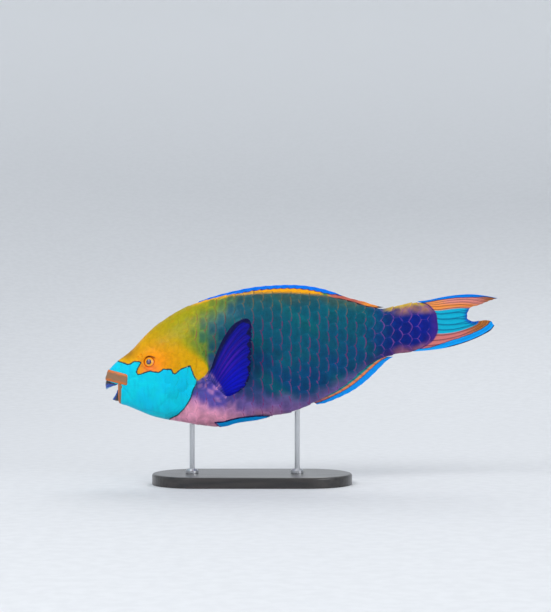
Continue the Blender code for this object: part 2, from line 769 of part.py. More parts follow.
def outside_flank(position):
    """Moves a point on the right out of the body."""
    clear = flank(position.x, position.z) + GAP * 1.3
    return Vector((position.x, max(position.y, clear), position.z))


def make_pectoral_fins():
    """Thirteen rays that fan from a fleshy root, raised and spread a little from the side."""
    flat = patch(*map(along_curve, (PECTORAL_ROOT, PECTORAL_END, PECTORAL_LEAD, PECTORAL_REAR)))

    def point(r, s):
        x, z = flat(r, s)
        root_x, root_z = flat(r, 0)
        away = math.hypot(x - root_x, z - root_z)
        lift = 5.5 * MM * (1 - math.exp(-away / (9 * MM))) + away * math.tan(PECTORAL_SPREAD)
        cup = 5 * MM * math.sin(math.pi * r) * s
        y = flank(root_x, root_z) + GAP * 1.3 + lift + cup
        x, z = as_drawn(x, z, y)
        return Vector((x, y, z))

    for name, side in (("pectoral_fin_right", 1), ("pectoral_fin_left", -1)):
        sizes = (2.6 * MM, 0.35 * MM, 0.45 * MM)
        fin(name, "deep_blue_fin", point, 13, 8, *sizes, outside_flank, side)


def under_belly(position):
    """Moves a point out of the belly."""
    clear = underside(position.x, position.y) - GAP * 1.3
    return Vector((position.x, position.y, min(position.z, clear)))


def make_pelvic_fins():
    """A spine and five rays in each, folded back along the belly."""

    def point(r, s):
        x = blend(blend(-52, -45, r), blend(28, 10, r), s) * MM
        y = blend(blend(13, 5, r), blend(12.5, 5.5, r**0.8), soft_step(s * 1.5)) * MM
        lift = (1.2 + 1.7 * soft_step(s * 4) + 0.6 * s) * MM
        return Vector((x, y, underside(x, y) - lift))

    for name, side in (("pelvic_fin_right", 1), ("pelvic_fin_left", -1)):
        sizes = (1.0 * MM, 0.35 * MM, 0.35 * MM)
        fin(name, "bright_blue_fin", point, 6, 8, *sizes, under_belly, side)


def make_base():
    """A flat base with rounded ends."""
    bm = bmesh.new()
    end_radius = BASE_WIDTH / 2
    bmesh.ops.create_cone(
        bm, cap_ends=True, segments=64, radius1=end_radius, radius2=end_radius, depth=BASE_THICKNESS
    )
    for vert in bm.verts:
        vert.co.x += math.copysign((BASE_LENGTH - BASE_WIDTH) / 2, vert.co.x)
        vert.co.z += BASE_THICKNESS / 2
    edges = [e for e in bm.edges if all(v.co.z > BASE_THICKNESS * 0.9 for v in e.verts)]
    bmesh.ops.bevel(
        bm, geom=edges, offset=BASE_BEVEL, segments=3, profile=0.5, affect="EDGES", material=-1
    )
    add_object("stand_base", bm, "black_base")


def make_rods():
    """Two turned rods with wide feet, cut to meet the belly."""
    turn = [2 * math.pi * i / 20 for i in range(20)]
    foot = BASE_THICKNESS + GAP
    rings = [
        (ROD_FOOT_RADIUS, foot), (ROD_FOOT_RADIUS, foot + ROD_FOOT_HEIGHT * 0.6),
        (ROD_FOOT_RADIUS * 0.8, foot + ROD_FOOT_HEIGHT), (ROD_RADIUS, foot + ROD_FOOT_HEIGHT),
    ]
    for name, centre_x in ROD_X.items():
        made = []
        for radius, z in rings:
            ring = [(centre_x + radius * math.cos(a), radius * math.sin(a), z) for a in turn]
            made.append([Vector(point) for point in ring])
        top = [Vector(p) for p in made[-1]]
        for point in top:
            point.z = underside(point.x, point.y) - GAP * 2.5
        made.append(top)
        add_object(f"stand_rod_{name}", loft(made), "steel_rod")


def main():
    for old in list(bpy.data.objects):
        bpy.data.objects.remove(old)
    make_head()
    make_eyes()
    beak("beak_upper", upper_beak_point)
    beak("beak_lower", lower_beak_point)
    make_trunk()
    make_stalk()
    make_dorsal_fin()
    make_anal_fin()
    make_tail_fin()
    make_pectoral_fins()
    make_pelvic_fins()
    make_base()
    make_rods()


main()
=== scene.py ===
# %% [markdown]
# # A greenthroat parrotfish on a display stand
# The fish is modelled life size, as a museum shows it: 0.55 m long, swimming level with its mouth
# open. The solids that carry and support it are loaded first, and never moved. Every piece made
# below is laid over them: one skin for head, trunk and tail, large overlapping scales, lips, a
# beak, eyes, and fins whose rays fan through thin skin.

import math
import random

import bmesh
import bpy
import numpy as np
from mathutils import Matrix, Vector


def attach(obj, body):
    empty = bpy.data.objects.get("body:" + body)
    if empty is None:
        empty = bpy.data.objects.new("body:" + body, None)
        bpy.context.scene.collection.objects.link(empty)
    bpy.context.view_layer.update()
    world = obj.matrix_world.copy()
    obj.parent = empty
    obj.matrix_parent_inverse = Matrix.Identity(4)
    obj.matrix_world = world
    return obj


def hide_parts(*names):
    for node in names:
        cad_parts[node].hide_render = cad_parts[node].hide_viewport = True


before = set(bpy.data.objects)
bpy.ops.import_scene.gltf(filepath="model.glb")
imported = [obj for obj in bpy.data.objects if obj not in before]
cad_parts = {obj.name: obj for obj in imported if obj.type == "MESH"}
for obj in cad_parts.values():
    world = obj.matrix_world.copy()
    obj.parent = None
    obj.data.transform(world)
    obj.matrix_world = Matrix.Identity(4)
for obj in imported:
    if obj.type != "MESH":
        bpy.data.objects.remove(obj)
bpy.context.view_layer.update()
print("nodes:", ", ".join(sorted(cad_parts)))

# %% [markdown]
# ## Units and smooth lines
# The fish is worked out in millimetres, and each finished piece is brought to metres. A smooth
# line through a few key points gives an outline with no corners, and it takes whole arrays, so
# thousands of vertices are placed at once.

# %% A smooth line through key points
MM = 0.001


def smooth_line(keys):
    """A smooth function through (at, value) keys, which holds its end values beyond them."""
    at, value = np.array(keys, float).T
    step = np.diff(at)
    rise = np.diff(value) / step
    inner = (step[1:] * rise[:-1] + step[:-1] * rise[1:]) / (step[1:] + step[:-1])
    slope = np.concatenate([rise[:1], inner, rise[-1:]])

    def line(x):
        x = np.clip(np.asarray(x, float), at[0], at[-1])
        i = np.clip(np.searchsorted(at, x, "right") - 1, 0, len(step) - 1)
        t = (x - at[i]) / step[i]
        ends = value[i] * (1 + 2 * t) * (1 - t) ** 2 + value[i + 1] * t * t * (3 - 2 * t)
        turns = slope[i] * (1 - t) + slope[i + 1] * -t
        return ends + turns * step[i] * t * (1 - t)

    return line


def soft_step(t):
    """0 below 0, 1 above 1 and smooth between."""
    t = np.clip(t, 0.0, 1.0)
    return t * t * (3 - 2 * t)


def ramp(value, start, width):
    """0 to 1 as value runs the width from start, and it may run down."""
    return soft_step((value - start) / width)


def hump(t):
    """A bell of height 1 at 0 that has all but gone at 2."""
    return np.exp(-np.asarray(t) ** 2)


def blend(a, b, t):
    return a + (b - a) * t


def unit(vectors):
    return vectors / np.maximum(np.linalg.norm(vectors, axis=1), 1e-9)[:, None]


def turns_of(count):
    return [2 * math.pi * i / count for i in range(count)]


# %% [markdown]
# ## The body's form
# A fish's body is a tube whose section changes along its length. Its back and belly lines, its
# width and how square its section is are each one smooth line along X. The same named outlines
# made the solids, so the skin fits them everywhere.

# %% The outlines of the body
back = smooth_line([
    (-204.4, 151.0), (-202, 157), (-197, 163.5), (-187.6, 172.4), (-177.8, 179.6), (-166.6, 189),
    (-154, 203), (-140, 216.8), (-123, 229.4), (-103.6, 241.6), (-79.8, 252.4), (-51.8, 260.8),
    (-16.8, 267), (25.2, 269), (67.2, 268.2), (102.2, 264.1), (137.2, 255.3), (165.2, 247.6),
    (186.2, 245.7), (207.2, 250.6), (228.2, 253.8), (257.6, 252.6),
])
belly = smooth_line([
    (-204.4, 146), (-198, 134), (-190, 120.5), (-184.8, 113.3), (-175, 109.3), (-156.8, 101.7),
    (-140, 95), (-121.8, 90.5), (-100.8, 87), (-72.8, 82.2), (-50.4, 80.2), (-16.8, 88.6),
    (11.2, 94.2), (32.2, 95.6), (53.2, 99.6), (84, 112.2), (102.2, 121.4), (123.2, 133.4),
    (137.2, 143.6), (151.2, 156), (165.2, 167.4), (179.2, 175.2), (193.2, 179.4), (228.2, 185.6),
    (257.6, 192.6),
])
half_width = smooth_line([
    (-204.4, 5), (-201.6, 8.8), (-197, 12), (-190, 15), (-181, 18), (-163, 22.5), (-142, 27),
    (-121, 31), (-100, 34.5), (-72, 37.5), (-45, 39), (-15, 39), (12, 38), (40, 36), (67, 33),
    (95, 28.6), (123, 24), (151, 19), (179, 14.6), (207, 11.2), (228, 7.8), (246, 4.4), (257.6, 3),
])
level_share = smooth_line([
    (-204, 0.5), (-180, 0.55), (-140, 0.5), (-90, 0.46), (0, 0.5), (120, 0.52), (257, 0.5),
])
upper_power = smooth_line([(-204, 2.3), (-170, 2.1), (-110, 2.0), (0, 1.95), (120, 1.9), (257, 2.0)])
lower_power = smooth_line([(-204, 2.3), (-170, 2.2), (-110, 2.15), (0, 2.05), (120, 1.85), (257, 2.0)])
gill_edge = smooth_line([
    (84, -121), (90.5, -115.5), (97, -106), (103, -98.5), (111.4, -90.7), (120, -84.9), (131, -79.9),
    (140.6, -75.7), (147.5, -71.6), (154.4, -63.3), (161.3, -59.3), (171, -60.7), (182, -65.6),
    (195.8, -72.1), (209.6, -77.6), (230, -81.4), (254, -83),
])
tail_root = smooth_line([
    (184, 224), (190.6, 238), (197.6, 249), (208.8, 257.5), (227, 259), (243.8, 253.5), (252.2, 242),
    (257, 226),
])
GILL_X = -78.0
FIN_ROOT_X = 246
SNOUT_X = -204.4

# %% Points on the body


def widest_level(x):
    return blend(belly(x), back(x), level_share(x))


def half_form(x, upper):
    """The widest level, and the power and reach of the section's upper or lower half."""
    middle = widest_level(x)
    power = np.where(upper, upper_power(x), lower_power(x))
    return middle, power, np.where(upper, back(x) - middle, middle - belly(x))


def section(x, angle):
    """(y, z) on the right side at x, for an angle from -90 degrees at the belly to 90."""
    middle, power, reach = half_form(x, angle > 0)
    y = half_width(x) * np.abs(np.cos(angle)) ** (2 / power)
    z = middle + np.sign(angle) * reach * np.abs(np.sin(angle)) ** (2 / power)
    return y, z


def flank(x, z):
    """Half the body's width at x and height z."""
    middle, power, reach = half_form(x, z > widest_level(x))
    share = np.clip(np.abs(z - middle) / reach, 0, 1)
    return half_width(x) * (1 - share**power) ** (1 / power)


def underside(x, y):
    """Height of the body's lower surface at x and y."""
    middle, power, reach = half_form(x, False)
    share = np.clip(np.abs(y) / half_width(x), 0, 1)
    return middle - reach * (1 - share**power) ** (1 / power)


TABLE_STEP = 2.0
TABLE_X = np.arange(SNOUT_X, 258, TABLE_STEP)
TABLE_SIDES = 240
TABLE_ANGLE = np.radians(np.linspace(-90, 90, TABLE_SIDES + 1))
TABLE_Y, TABLE_Z = section(TABLE_X[:, None], TABLE_ANGLE[None, :])
TABLE_ARC = np.cumsum(
    np.hypot(np.diff(TABLE_Y, axis=1, prepend=0), np.diff(TABLE_Z, axis=1, prepend=0)), axis=1
)
TABLE_ARC -= TABLE_ARC[:, [TABLE_SIDES // 2]]


def table_rows(x):
    place = np.clip((x - TABLE_X[0]) / TABLE_STEP, 0, len(TABLE_X) - 1.001)
    return place.astype(int), place - place.astype(int)


def on_flank(x, arc):
    """Points on the right flank, arc millimetres round the section from its widest level."""
    row, share = table_rows(x)
    y, z = np.empty_like(x), np.empty_like(x)
    for i in np.unique(row):
        here = row == i
        for table, out in ((TABLE_Y, y), (TABLE_Z, z)):
            near = np.interp(arc[here], TABLE_ARC[i], table[i])
            far = np.interp(arc[here], TABLE_ARC[i + 1], table[i + 1])
            out[here] = blend(near, far, share[here])
    return np.stack([x, y, z], axis=-1)


def flank_normal(x, arc):
    """Outward directions at those points."""
    along = on_flank(x + 1, arc) - on_flank(x - 1, arc)
    round_it = on_flank(x, arc + 1) - on_flank(x, arc - 1)
    normal = np.cross(along, round_it)
    normal[normal[:, 1] < 0] *= -1
    return unit(normal)


def arc_limits(x):
    """The arc at the belly and at the back, for each x."""
    row, share = table_rows(x)
    return tuple(blend(TABLE_ARC[row, end], TABLE_ARC[row + 1, end], share) for end in (0, -1))


print("girth at the middle:", round(float(2 * np.ptp(TABLE_ARC[110]))), "mm")

# %% [markdown]
# ## Camera, light and floor
# The picture was taken level with the fish, square to its left side, from about two metres. A
# long lens keeps that view. The floor is a wide shallow pale bowl, so that from any side it closes
# the view behind the stand with no edge; its wall is painted lighter as it rises, painted light
# where the lamps reach it less. Large soft lamps stand in for a studio.

# %% The camera
CAMERA_DISTANCE = 2200.0
MM_PER_PIXEL = 1.4
PICTURE_CENTRE = np.array([32.7, 248.8])
PICTURE_ROWS = 612
PICTURE_HEIGHT = PICTURE_ROWS * MM_PER_PIXEL

camera = bpy.data.objects.new("camera", bpy.data.cameras.new("camera"))
bpy.context.scene.collection.objects.link(camera)
camera.location = (PICTURE_CENTRE[0] * MM, -CAMERA_DISTANCE * MM, PICTURE_CENTRE[1] * MM)
camera.rotation_euler = (math.pi / 2, 0, 0)
camera.data.lens = camera.data.sensor_width * CAMERA_DISTANCE / PICTURE_HEIGHT
bpy.context.scene.camera = camera
bpy.context.scene.view_settings.view_transform = "Standard"


def seen(points):
    """(x, z) where the camera sees points of either flank against the fish's middle plane."""
    nearer = 1 - np.abs(points[:, 1]) / CAMERA_DISTANCE
    return (PICTURE_CENTRE + (points[:, [0, 2]] - PICTURE_CENTRE) / nearer[:, None]).T


def off_plane(x, z, y):
    """The (x, z) of something y off the middle plane that is seen at (x, z) on it."""
    nearer = 1 - y / CAMERA_DISTANCE
    centre_x, centre_z = PICTURE_CENTRE
    return centre_x + (x - centre_x) * nearer, centre_z + (z - centre_z) * nearer


print("lens:", round(camera.data.lens), "mm")

# %% The lamps


def lamp(name, place, aim, size, watts):
    light = bpy.data.lights.new(name, "AREA")
    light.shape = "DISK"
    light.size = size
    light.energy = watts
    made = bpy.data.objects.new(name, light)
    bpy.context.scene.collection.objects.link(made)
    made.location = place
    made.rotation_euler = (Vector(aim) - Vector(place)).to_track_quat("-Z", "Y").to_euler()
    made.visible_camera = False


FISH_MIDDLE = (0.05, 0, 0.17)
lamp("key_lamp", (-1.3, -1.9, 2.1), FISH_MIDDLE, 1.4, 38)
lamp("fill_lamp", (1.9, -1.9, 0.9), FISH_MIDDLE, 1.8, 20)
lamp("back_lamp", (0.5, 1.9, 2.2), FISH_MIDDLE, 1.6, 20)
world = bpy.data.worlds.new("room")
world.use_nodes = True
world.node_tree.nodes["Background"].inputs["Color"].default_value = (0.93, 0.96, 1, 1)
world.node_tree.nodes["Background"].inputs["Strength"].default_value = 0.78
bpy.context.scene.world = world

# %% [markdown]
# ## Finishes from short recipes
# Each finish is a Principled shader with a few nodes before it. This class adds a node with its
# settings, joins sockets and mixes colours, so that a finish below reads as a short recipe.

# %% Build materials from short recipes


def colour(red, green, blue):
    """A colour given as 0 to 255 on screen, as the linear value that a shader takes."""
    share = np.array([red, green, blue], float) / 255
    return np.where(share <= 0.04045, share / 12.92, ((share + 0.055) / 1.055) ** 2.4)


class Finish:
    """A material and the nodes that feed its Principled shader, whose own sockets are set."""

    def __init__(self, name, roughness=0.4, **sockets):
        self.material = bpy.data.materials.new(name)
        self.material.use_nodes = True
        self.tree = self.material.node_tree
        self.shader = self.tree.nodes["Principled BSDF"]
        for socket, value in {"Roughness": roughness, **sockets}.items():
            self.shader.inputs[socket.replace("_", " ")].default_value = value

    def node(self, kind, settings=None, **inputs):
        """A new node. Inputs go by name, or as _ and their number, and take a socket or a value."""
        made = self.tree.nodes.new("ShaderNode" + kind)
        for name, value in (settings or {}).items():
            setattr(made, name, value)
        for name, value in inputs.items():
            socket = made.inputs[int(name[1:]) if name[1:].isdigit() else name.replace("_", " ")]
            if isinstance(value, bpy.types.NodeSocket):
                self.tree.links.new(value, socket)
            else:
                is_colour = isinstance(value, np.ndarray)
                socket.default_value = (*value.tolist(), 1.0) if is_colour else value
        return made

    def math(self, operation, a, b=0.0, c=0.0):
        return self.node("Math", {"operation": operation}, _0=a, _1=b, _2=c).outputs[0]

    def times(self, a, b):
        return self.math("MULTIPLY", a, b)

    def scaled(self, value, by, plus):
        return self.math("MULTIPLY_ADD", value, by, plus)

    def waved(self, value, noise, reach):
        """The value, moved to and fro by a noise."""
        return self.math("ADD", value, self.scaled(noise, reach, -reach / 2))

    def step(self, value, low, high):
        """0 below low, 1 above high, smooth between."""
        settings = {"interpolation_type": "SMOOTHSTEP"}
        inputs = {"Value": value, "From_Min": low, "From_Max": high}
        return self.node("MapRange", settings, **inputs).outputs[0]

    def under(self, value, low, high):
        """1 below low, 0 above high."""
        return self.math("SUBTRACT", 1.0, self.step(value, low, high))

    def mix(self, factor, a, b, mode="MIX"):
        settings = {"data_type": "RGBA", "blend_type": mode}
        return self.node("Mix", settings, _0=factor, _6=a, _7=b).outputs[2]

    def bands(self, value, base, *bands):
        """Colours along a value: each (low, high, colour) takes over between low and high."""
        for low, high, shade in bands:
            base = self.mix(self.step(value, low, high), base, shade)
        return base

    def stained(self, base, pattern, share, shade):
        """The base, multiplied by a shade where the pattern is high."""
        return self.mix(self.times(pattern, share), base, shade, "MULTIPLY")

    def place(self):
        return self.node("TexCoord").outputs["Object"]

    def noise(self, scale, detail=2.0, stretch=(1, 1, 1)):
        """Noise on Object coordinates, scale in waves a metre."""
        turned = self.node("Mapping", None, Vector=self.place(), Scale=stretch).outputs[0]
        return self.node("TexNoise", None, Vector=turned, Scale=scale, Detail=detail).outputs[0]

    def stored(self, name, kind="Vector"):
        """What a piece keeps on its vertices: a Vector, or a number as Fac."""
        return self.node("Attribute", {"attribute_name": name}).outputs[kind]

    def apart(self, vector):
        return self.node("SeparateXYZ", None, Vector=vector).outputs

    def bump(self, height, distance, normal=None):
        made = self.node("Bump", None, Height=height, Distance=distance, Strength=1.0)
        if normal:
            self.tree.links.new(normal, made.inputs["Normal"])
        return made.outputs[0]

    def done(self, base, normal=None, roughness=None):
        """Joins the sockets to the shader, and gives back the material."""
        for name, socket in (("Base Color", base), ("Normal", normal), ("Roughness", roughness)):
            if socket is not None:
                self.tree.links.new(socket, self.shader.inputs[name])
        return self.material


# %% The floor
FLAT_RADIUS = 1.1
WALL_RADIUS = 6.5
WALL_TOP = 7.5
FLOOR_ARCS = 24
FLOOR_SIDES = 96


def object_of(name, bm):
    """A new object in the scene from a bmesh, which is freed."""
    mesh = bpy.data.meshes.new(name)
    bm.to_mesh(mesh)
    bm.free()
    made = bpy.data.objects.new(name, mesh)
    bpy.context.scene.collection.objects.link(made)
    return made


def make_floor():
    """A disc turned from a profile: flat, then curving up to a wall."""
    bm = bmesh.new()
    reach = WALL_RADIUS - FLAT_RADIUS
    turns = [math.pi / 2 * i / FLOOR_ARCS for i in range(FLOOR_ARCS + 1)]
    profile = [(FLAT_RADIUS + reach * math.sin(a), reach * (1 - math.cos(a))) for a in turns]
    verts = [bm.verts.new((r, 0, z)) for r, z in [(0.0, 0.0), *profile, (WALL_RADIUS, WALL_TOP)]]
    for a, b in zip(verts, verts[1:]):
        bm.edges.new((a, b))
    bmesh.ops.spin(
        bm, geom=bm.verts[:] + bm.edges[:], axis=(0, 0, 1), cent=(0, 0, 0),
        angle=2 * math.pi, steps=FLOOR_SIDES, use_merge=True,
    )
    bmesh.ops.remove_doubles(bm, verts=bm.verts, dist=1e-5)
    bmesh.ops.recalc_face_normals(bm, faces=bm.faces)
    if sum(f.normal.z for f in bm.faces) < 0:
        bmesh.ops.reverse_faces(bm, faces=bm.faces)
    floor = object_of("floor", bm)
    floor.data.shade_smooth()
    finish = Finish("pale_floor", roughness=0.75)
    speckled = finish.bands(finish.noise(60, 4), colour(212, 214, 217), (0.3, 0.7, colour(217, 219, 222)))
    level = finish.apart(finish.place())[2]
    # Painted light: the bowl is painted lighter with height, as the lamps reach its rising wall less than
    # the flat floor.
    base = finish.bands(level, speckled, (0.0, 1.6, colour(240, 242, 244)))
    floor.data.materials.append(finish.done(base))
    print("floor:", len(floor.data.polygons), "faces")


make_floor()

# %% [markdown]
# ## Making a piece
# A grid of squares is the start of every curved sheet here. Its vertices are moved to where a
# function puts them, in millimetres, and then the mesh is brought to metres. Numbers that the
# finishes read, such as how far a point is from a marking's edge, are stored on the vertices.

# %% Turn a grid into a piece


def laid_grid(columns, rows, place):
    """A bmesh grid whose vertices are put at place(across, along), each from 0 to 1."""
    bm = bmesh.new()
    bmesh.ops.create_grid(bm, x_segments=columns, y_segments=rows, size=0.5)
    share = np.array([(v.co.x, v.co.y) for v in bm.verts]) + 0.5
    for vert, point in zip(bm.verts, place(share[:, 0], share[:, 1])):
        vert.co = point
    return bm


def close_up(bm, merge=0.001):
    """Merges doubled vertices, fills the open ends and turns the faces outwards."""
    bmesh.ops.remove_doubles(bm, verts=bm.verts, dist=merge)
    bmesh.ops.holes_fill(bm, edges=[e for e in bm.edges if e.is_boundary], sides=0)
    bmesh.ops.recalc_face_normals(bm, faces=bm.faces)
    return bm


def new_piece(name, bm, finish, slot, *nodes, sharp=None):
    """A piece in metres from a bmesh in millimetres, which rides the fish and replaces nodes."""
    bmesh.ops.scale(bm, vec=(MM, MM, MM), verts=bm.verts)
    piece = object_of(name, bm)
    piece.data.shade_smooth()
    if sharp:
        piece.data.set_sharp_from_angle(angle=math.radians(sharp))
    piece.data.materials.append(finish)
    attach(piece, "root")
    if nodes:
        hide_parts(*nodes)
    print(f"{name}: {len(piece.data.polygons)} faces")
    return piece


def points_of(piece):
    """The piece's vertices in millimetres."""
    flat = np.empty(len(piece.data.vertices) * 3)
    piece.data.vertices.foreach_get("co", flat)
    return flat.reshape(-1, 3) / MM


def store(piece, name, values):
    """Keeps a number or a colour for each vertex, for the finish to read."""
    values = np.asarray(values, float)
    kind, field = {1: ("FLOAT", "value"), 2: ("FLOAT_VECTOR", "vector")}[values.ndim]
    attribute = piece.data.attributes.new(name, kind, "POINT")
    attribute.data.foreach_set(field, values.ravel())


# %% [markdown]
# ## Markings
# The male is yellow over the crown, with a turquoise mask whose ragged edge runs from the snout
# under the eye to the gill cover. The trunk is dark teal, purple and pink towards the belly, and
# the tail stalk deep blue. Soft changes are weights along the body, and the mask is a closed
# outline: each vertex keeps its distance from that outline, so the edge is drawn crisp however
# coarse the mesh is. Skin and scales are painted by the same function, so they carry the same
# markings.

# %% The colours of the fish
YELLOW = colour(224, 170, 4)
FOREHEAD = colour(154, 116, 18)
ORANGE = colour(255, 152, 14)
SALMON = colour(255, 132, 58)
MUSTARD = colour(168, 164, 16)
MOSS = colour(60, 126, 58)
CYAN = colour(0, 206, 226)
CHIN_CYAN = colour(0, 198, 232)
MASK_LINE = colour(0, 40, 56)
TEAL = colour(0, 90, 112)
DEEP_TEAL = colour(0, 76, 120)
PURPLE = colour(104, 82, 184)
PINK = colour(255, 174, 204)
BELLY_PURPLE = colour(130, 106, 178)
TAIL_BLUE = colour(0, 36, 126)
TAIL_EDGE = colour(74, 36, 126)
OLIVE = colour(120, 132, 44)
GOLD_TOP = colour(214, 178, 40)
PEACH = colour(196, 138, 96)
RIM_MAGENTA = colour(108, 14, 92)
RIM_BACK = colour(112, 96, 62)
RIM_LOW = colour(140, 56, 124)
RIM_TAIL = colour(122, 68, 152)
RIM_OLIVE = colour(150, 112, 40)

MASK_OUTLINE = [
    (-187.8, 171.8), (-179.4, 169), (-173.8, 166.9), (-169.6, 168.3), (-165.4, 171.1), (-157, 171.1),
    (-155.6, 169), (-159.8, 162), (-161.9, 156.4), (-159.8, 152.9), (-155.6, 153.6), (-148.6, 156.4),
    (-143, 157.8), (-131.8, 155.7), (-127.6, 157.8), (-124.8, 160.6), (-117.8, 159.9), (-113.6, 161.3),
    (-110.1, 153.6), (-106.6, 154.3), (-102.4, 159.2), (-98.2, 161.3), (-87, 165.5), (-84.2, 159.2),
    (-81.4, 150.8), (-77.2, 145.2), (-78.6, 138.2), (-81.4, 134), (-87, 117.2), (-94, 106),
    (-103.8, 96.2), (-115, 90.6), (-122, 60), (-240, 60), (-240, 190), (-191, 190),
]
EYE = (-140.4, 170.8)
PECTORAL_ROOT = [(-59.9, 149.2), (-50.4, 140.3), (-41.2, 131), (-34.8, 124.6)]
yellow_end = smooth_line([
    (84, -150), (125, -132), (137, -98), (143, -79), (149, -69), (158, -61.5), (166, -62), (180, -69),
    (195, -76), (210, -83), (225, -83), (240, -72), (257, -54), (270, -48),
])
yellow_fade = smooth_line([
    (140, 1.5), (164, 2.5), (172, 8), (182, 20), (195, 33), (210, 40), (225, 44), (240, 45), (257, 44),
])

# %% Distances from outlines


def line_distance(x, z, line, closed=False):
    """Distance in millimetres from each (x, z) to a run of straight pieces."""
    ends = line[1:] + line[:1] if closed else line[1:]
    nearest = np.full(np.shape(x), 1e9)
    for (x0, z0), (x1, z1) in zip(line, ends):
        run, rise = x1 - x0, z1 - z0
        t = np.clip(((x - x0) * run + (z - z0) * rise) / (run**2 + rise**2), 0, 1)
        nearest = np.minimum(nearest, np.hypot(x - x0 - t * run, z - z0 - t * rise))
    return nearest


def inside(x, z, outline):
    """Which points lie within a closed outline."""
    within = np.zeros(np.shape(x), bool)
    for (x0, z0), (x1, z1) in zip(outline, outline[1:] + outline[:1]):
        crosses = (z0 > z) != (z1 > z)
        level = x0 + (z - z0) * (x1 - x0) / (z1 - z0 if z1 != z0 else 1e-9)
        within ^= crosses & (x < level)
    return within


def mask_depth(x, z):
    """How far inside the mask's edge a point is, negative outside it."""
    distance = line_distance(x, z, MASK_OUTLINE, closed=True)
    return np.where(inside(x, z, MASK_OUTLINE), distance, -distance)


# %% Paint the skin and the scales


def painted(base, *layers):
    """Lays each (paint, weight for each point) over the base in turn."""
    for paint, weight in layers:
        base = base + (paint - base) * np.asarray(weight)[:, None]
    return base


def cloud(x, z):
    """Slow uneven waves from -1 to 1, which keep changes of colour from lying in straight bands."""
    slanting = np.sin(x / 9.1 + 2 * np.sin(z / 13)) + np.sin(z / 6.3 + 1.7 * np.sin(x / 11))
    return (slanting + np.sin((x + z) / 4.7)) / 3


def height_share(x, z):
    """0 on the belly's line and 1 on the back's."""
    return (z - belly(x)) / (back(x) - belly(x))


def body_paint(points):
    """The colour of the fish at each point, apart from the mask, with a painted shadow of the lid over the
    eye.
    """
    x, z = points[:, 0], points[:, 2]
    seen_x, seen_z = seen(points)
    waves = cloud(x, z)
    height = height_share(x, z) + 0.035 * waves
    drift = cloud(x * 0.6 + 40, z * 0.7)
    low = soft_step((blend(0.24, 0.15, ramp(x, 20, 70)) - height) / 0.17)
    pink = soft_step((blend(0.3, 0.1, ramp(x, -110, 130)) - height) / 0.14)
    fleshy = hump(line_distance(x, z, PECTORAL_ROOT) / 15)
    dapple = cloud(x * 2.1, z * 2.1)
    stalk = ramp(x, 148, 60)
    end = soft_step((x - tail_root(z) + 12 + 4 * waves) / 9)
    patchy = soft_step((cloud(x * 1.7, z * 2.2) + 0.5) / 0.8)
    gold = soft_step((height - 0.935 + 0.04 * patchy) / 0.05)
    fade = yellow_fade(seen_z)
    yellow = np.clip((yellow_end(seen_z) + fade - seen_x) / (2 * fade), 0, 1)
    yellow = np.clip(yellow + 0.12 * waves * soft_step(fade / 20) * np.sin(math.pi * yellow), 0, 1)
    speck = soft_step((cloud(x * 3.1, z * 2.9) * cloud(x * 1.3, z * 1.9) - 0.12) / 0.2)
    strip = soft_step((z - back(x) + blend(4.0, 2.8, ramp(x, -10, 50))) / 1.8)
    off_x, off_z = x - EYE[0], z - EYE[1]
    # brow: a thin dark arc round the top of the eye, a painted shadow of the upper lid
    brow = hump((np.hypot(off_x, off_z) - 8.7) / 0.7) * ramp(off_z, 5.0, 1.5)
    return painted(
        TEAL,
        (DEEP_TEAL, ramp(height, 0.75, -0.5)),
        (colour(0, 106, 112), soft_step(drift / 0.9) * 0.5),
        (colour(0, 62, 134), soft_step(-drift / 0.9) * ramp(height, 0.8, -0.3) * 0.4),
        (PURPLE, ramp(height, 0.36, -0.26) * ramp(x, 30, -90)),
        (BELLY_PURPLE, low * ramp(x, 180, -60)),
        (PURPLE, hump(np.hypot(x + 50, z - 136) / 30) * 0.95),
        (PINK, pink * ramp(x, 90, -110)),
        # pale pink blotches on the raised pectoral base: partly its own colour, partly painted light on that
        # flesh
        (PINK, fleshy * ramp(dapple, 0.1, 0.5) * 0.55),
        (TAIL_BLUE, fleshy * ramp(dapple, -0.25, -0.4) * 0.6),
        (TAIL_BLUE, stalk),
        (TAIL_EDGE, stalk * ramp(height, 0.2, -0.2) * 0.9),
        (TAIL_EDGE, end * 0.8),
        (colour(0, 22, 150), hump((x - 236) / 24) * hump((height - 0.48) / 0.34) * 0.7),
        (OLIVE * 0.45, ramp(height, 0.86, 0.12) * ramp(x, -40, 60) * ramp(x, 170, -40) * 0.4),
        (PEACH, ramp(height, 0.72, 0.2) * ramp(x, 190, 26) * blend(0.4, 0.85, patchy)),
        (GOLD_TOP, gold * ramp(x, 180, 14) * 0.9),
        (colour(158, 100, 118), ramp(height, 0.2, -0.15) * ramp(x, 190, 16) * blend(0.35, 0.85, patchy)),
        (MOSS, soft_step(yellow / 0.45)),
        (MUSTARD, ramp(yellow, 0.3, 0.4)),
        (YELLOW, ramp(yellow, 0.62, 0.38)),
        (MUSTARD, yellow * ramp(x, -172, 70) * ramp(height, 0.58, 0.34) * 0.85),
        (colour(222, 130, 20), speck * yellow * ramp(x, -175, 20) * 0.3),
        (FOREHEAD, ramp(x, -150, -26) * ramp(z, 172, 10)),
        (colour(246, 176, 24), strip * ramp(x, -92, 20) * ramp(x, 112, -36) * 0.9),
        (ORANGE, hump(np.hypot(off_x - 6, off_z * 1.15) / 27) * yellow),
        (SALMON, hump(np.hypot(off_x / 1.3, off_z + 10) / 9.5) * yellow),
        # the painted shadow of the upper lid over the eye
        (colour(40, 26, 40), brow * 0.9),
    )


def past_yellow(points):
    """0 in the yellow, rising to 1 behind it."""
    seen_x, seen_z = seen(points)
    return soft_step((seen_x - yellow_end(seen_z) + 0.3 * yellow_fade(seen_z)) / 14)


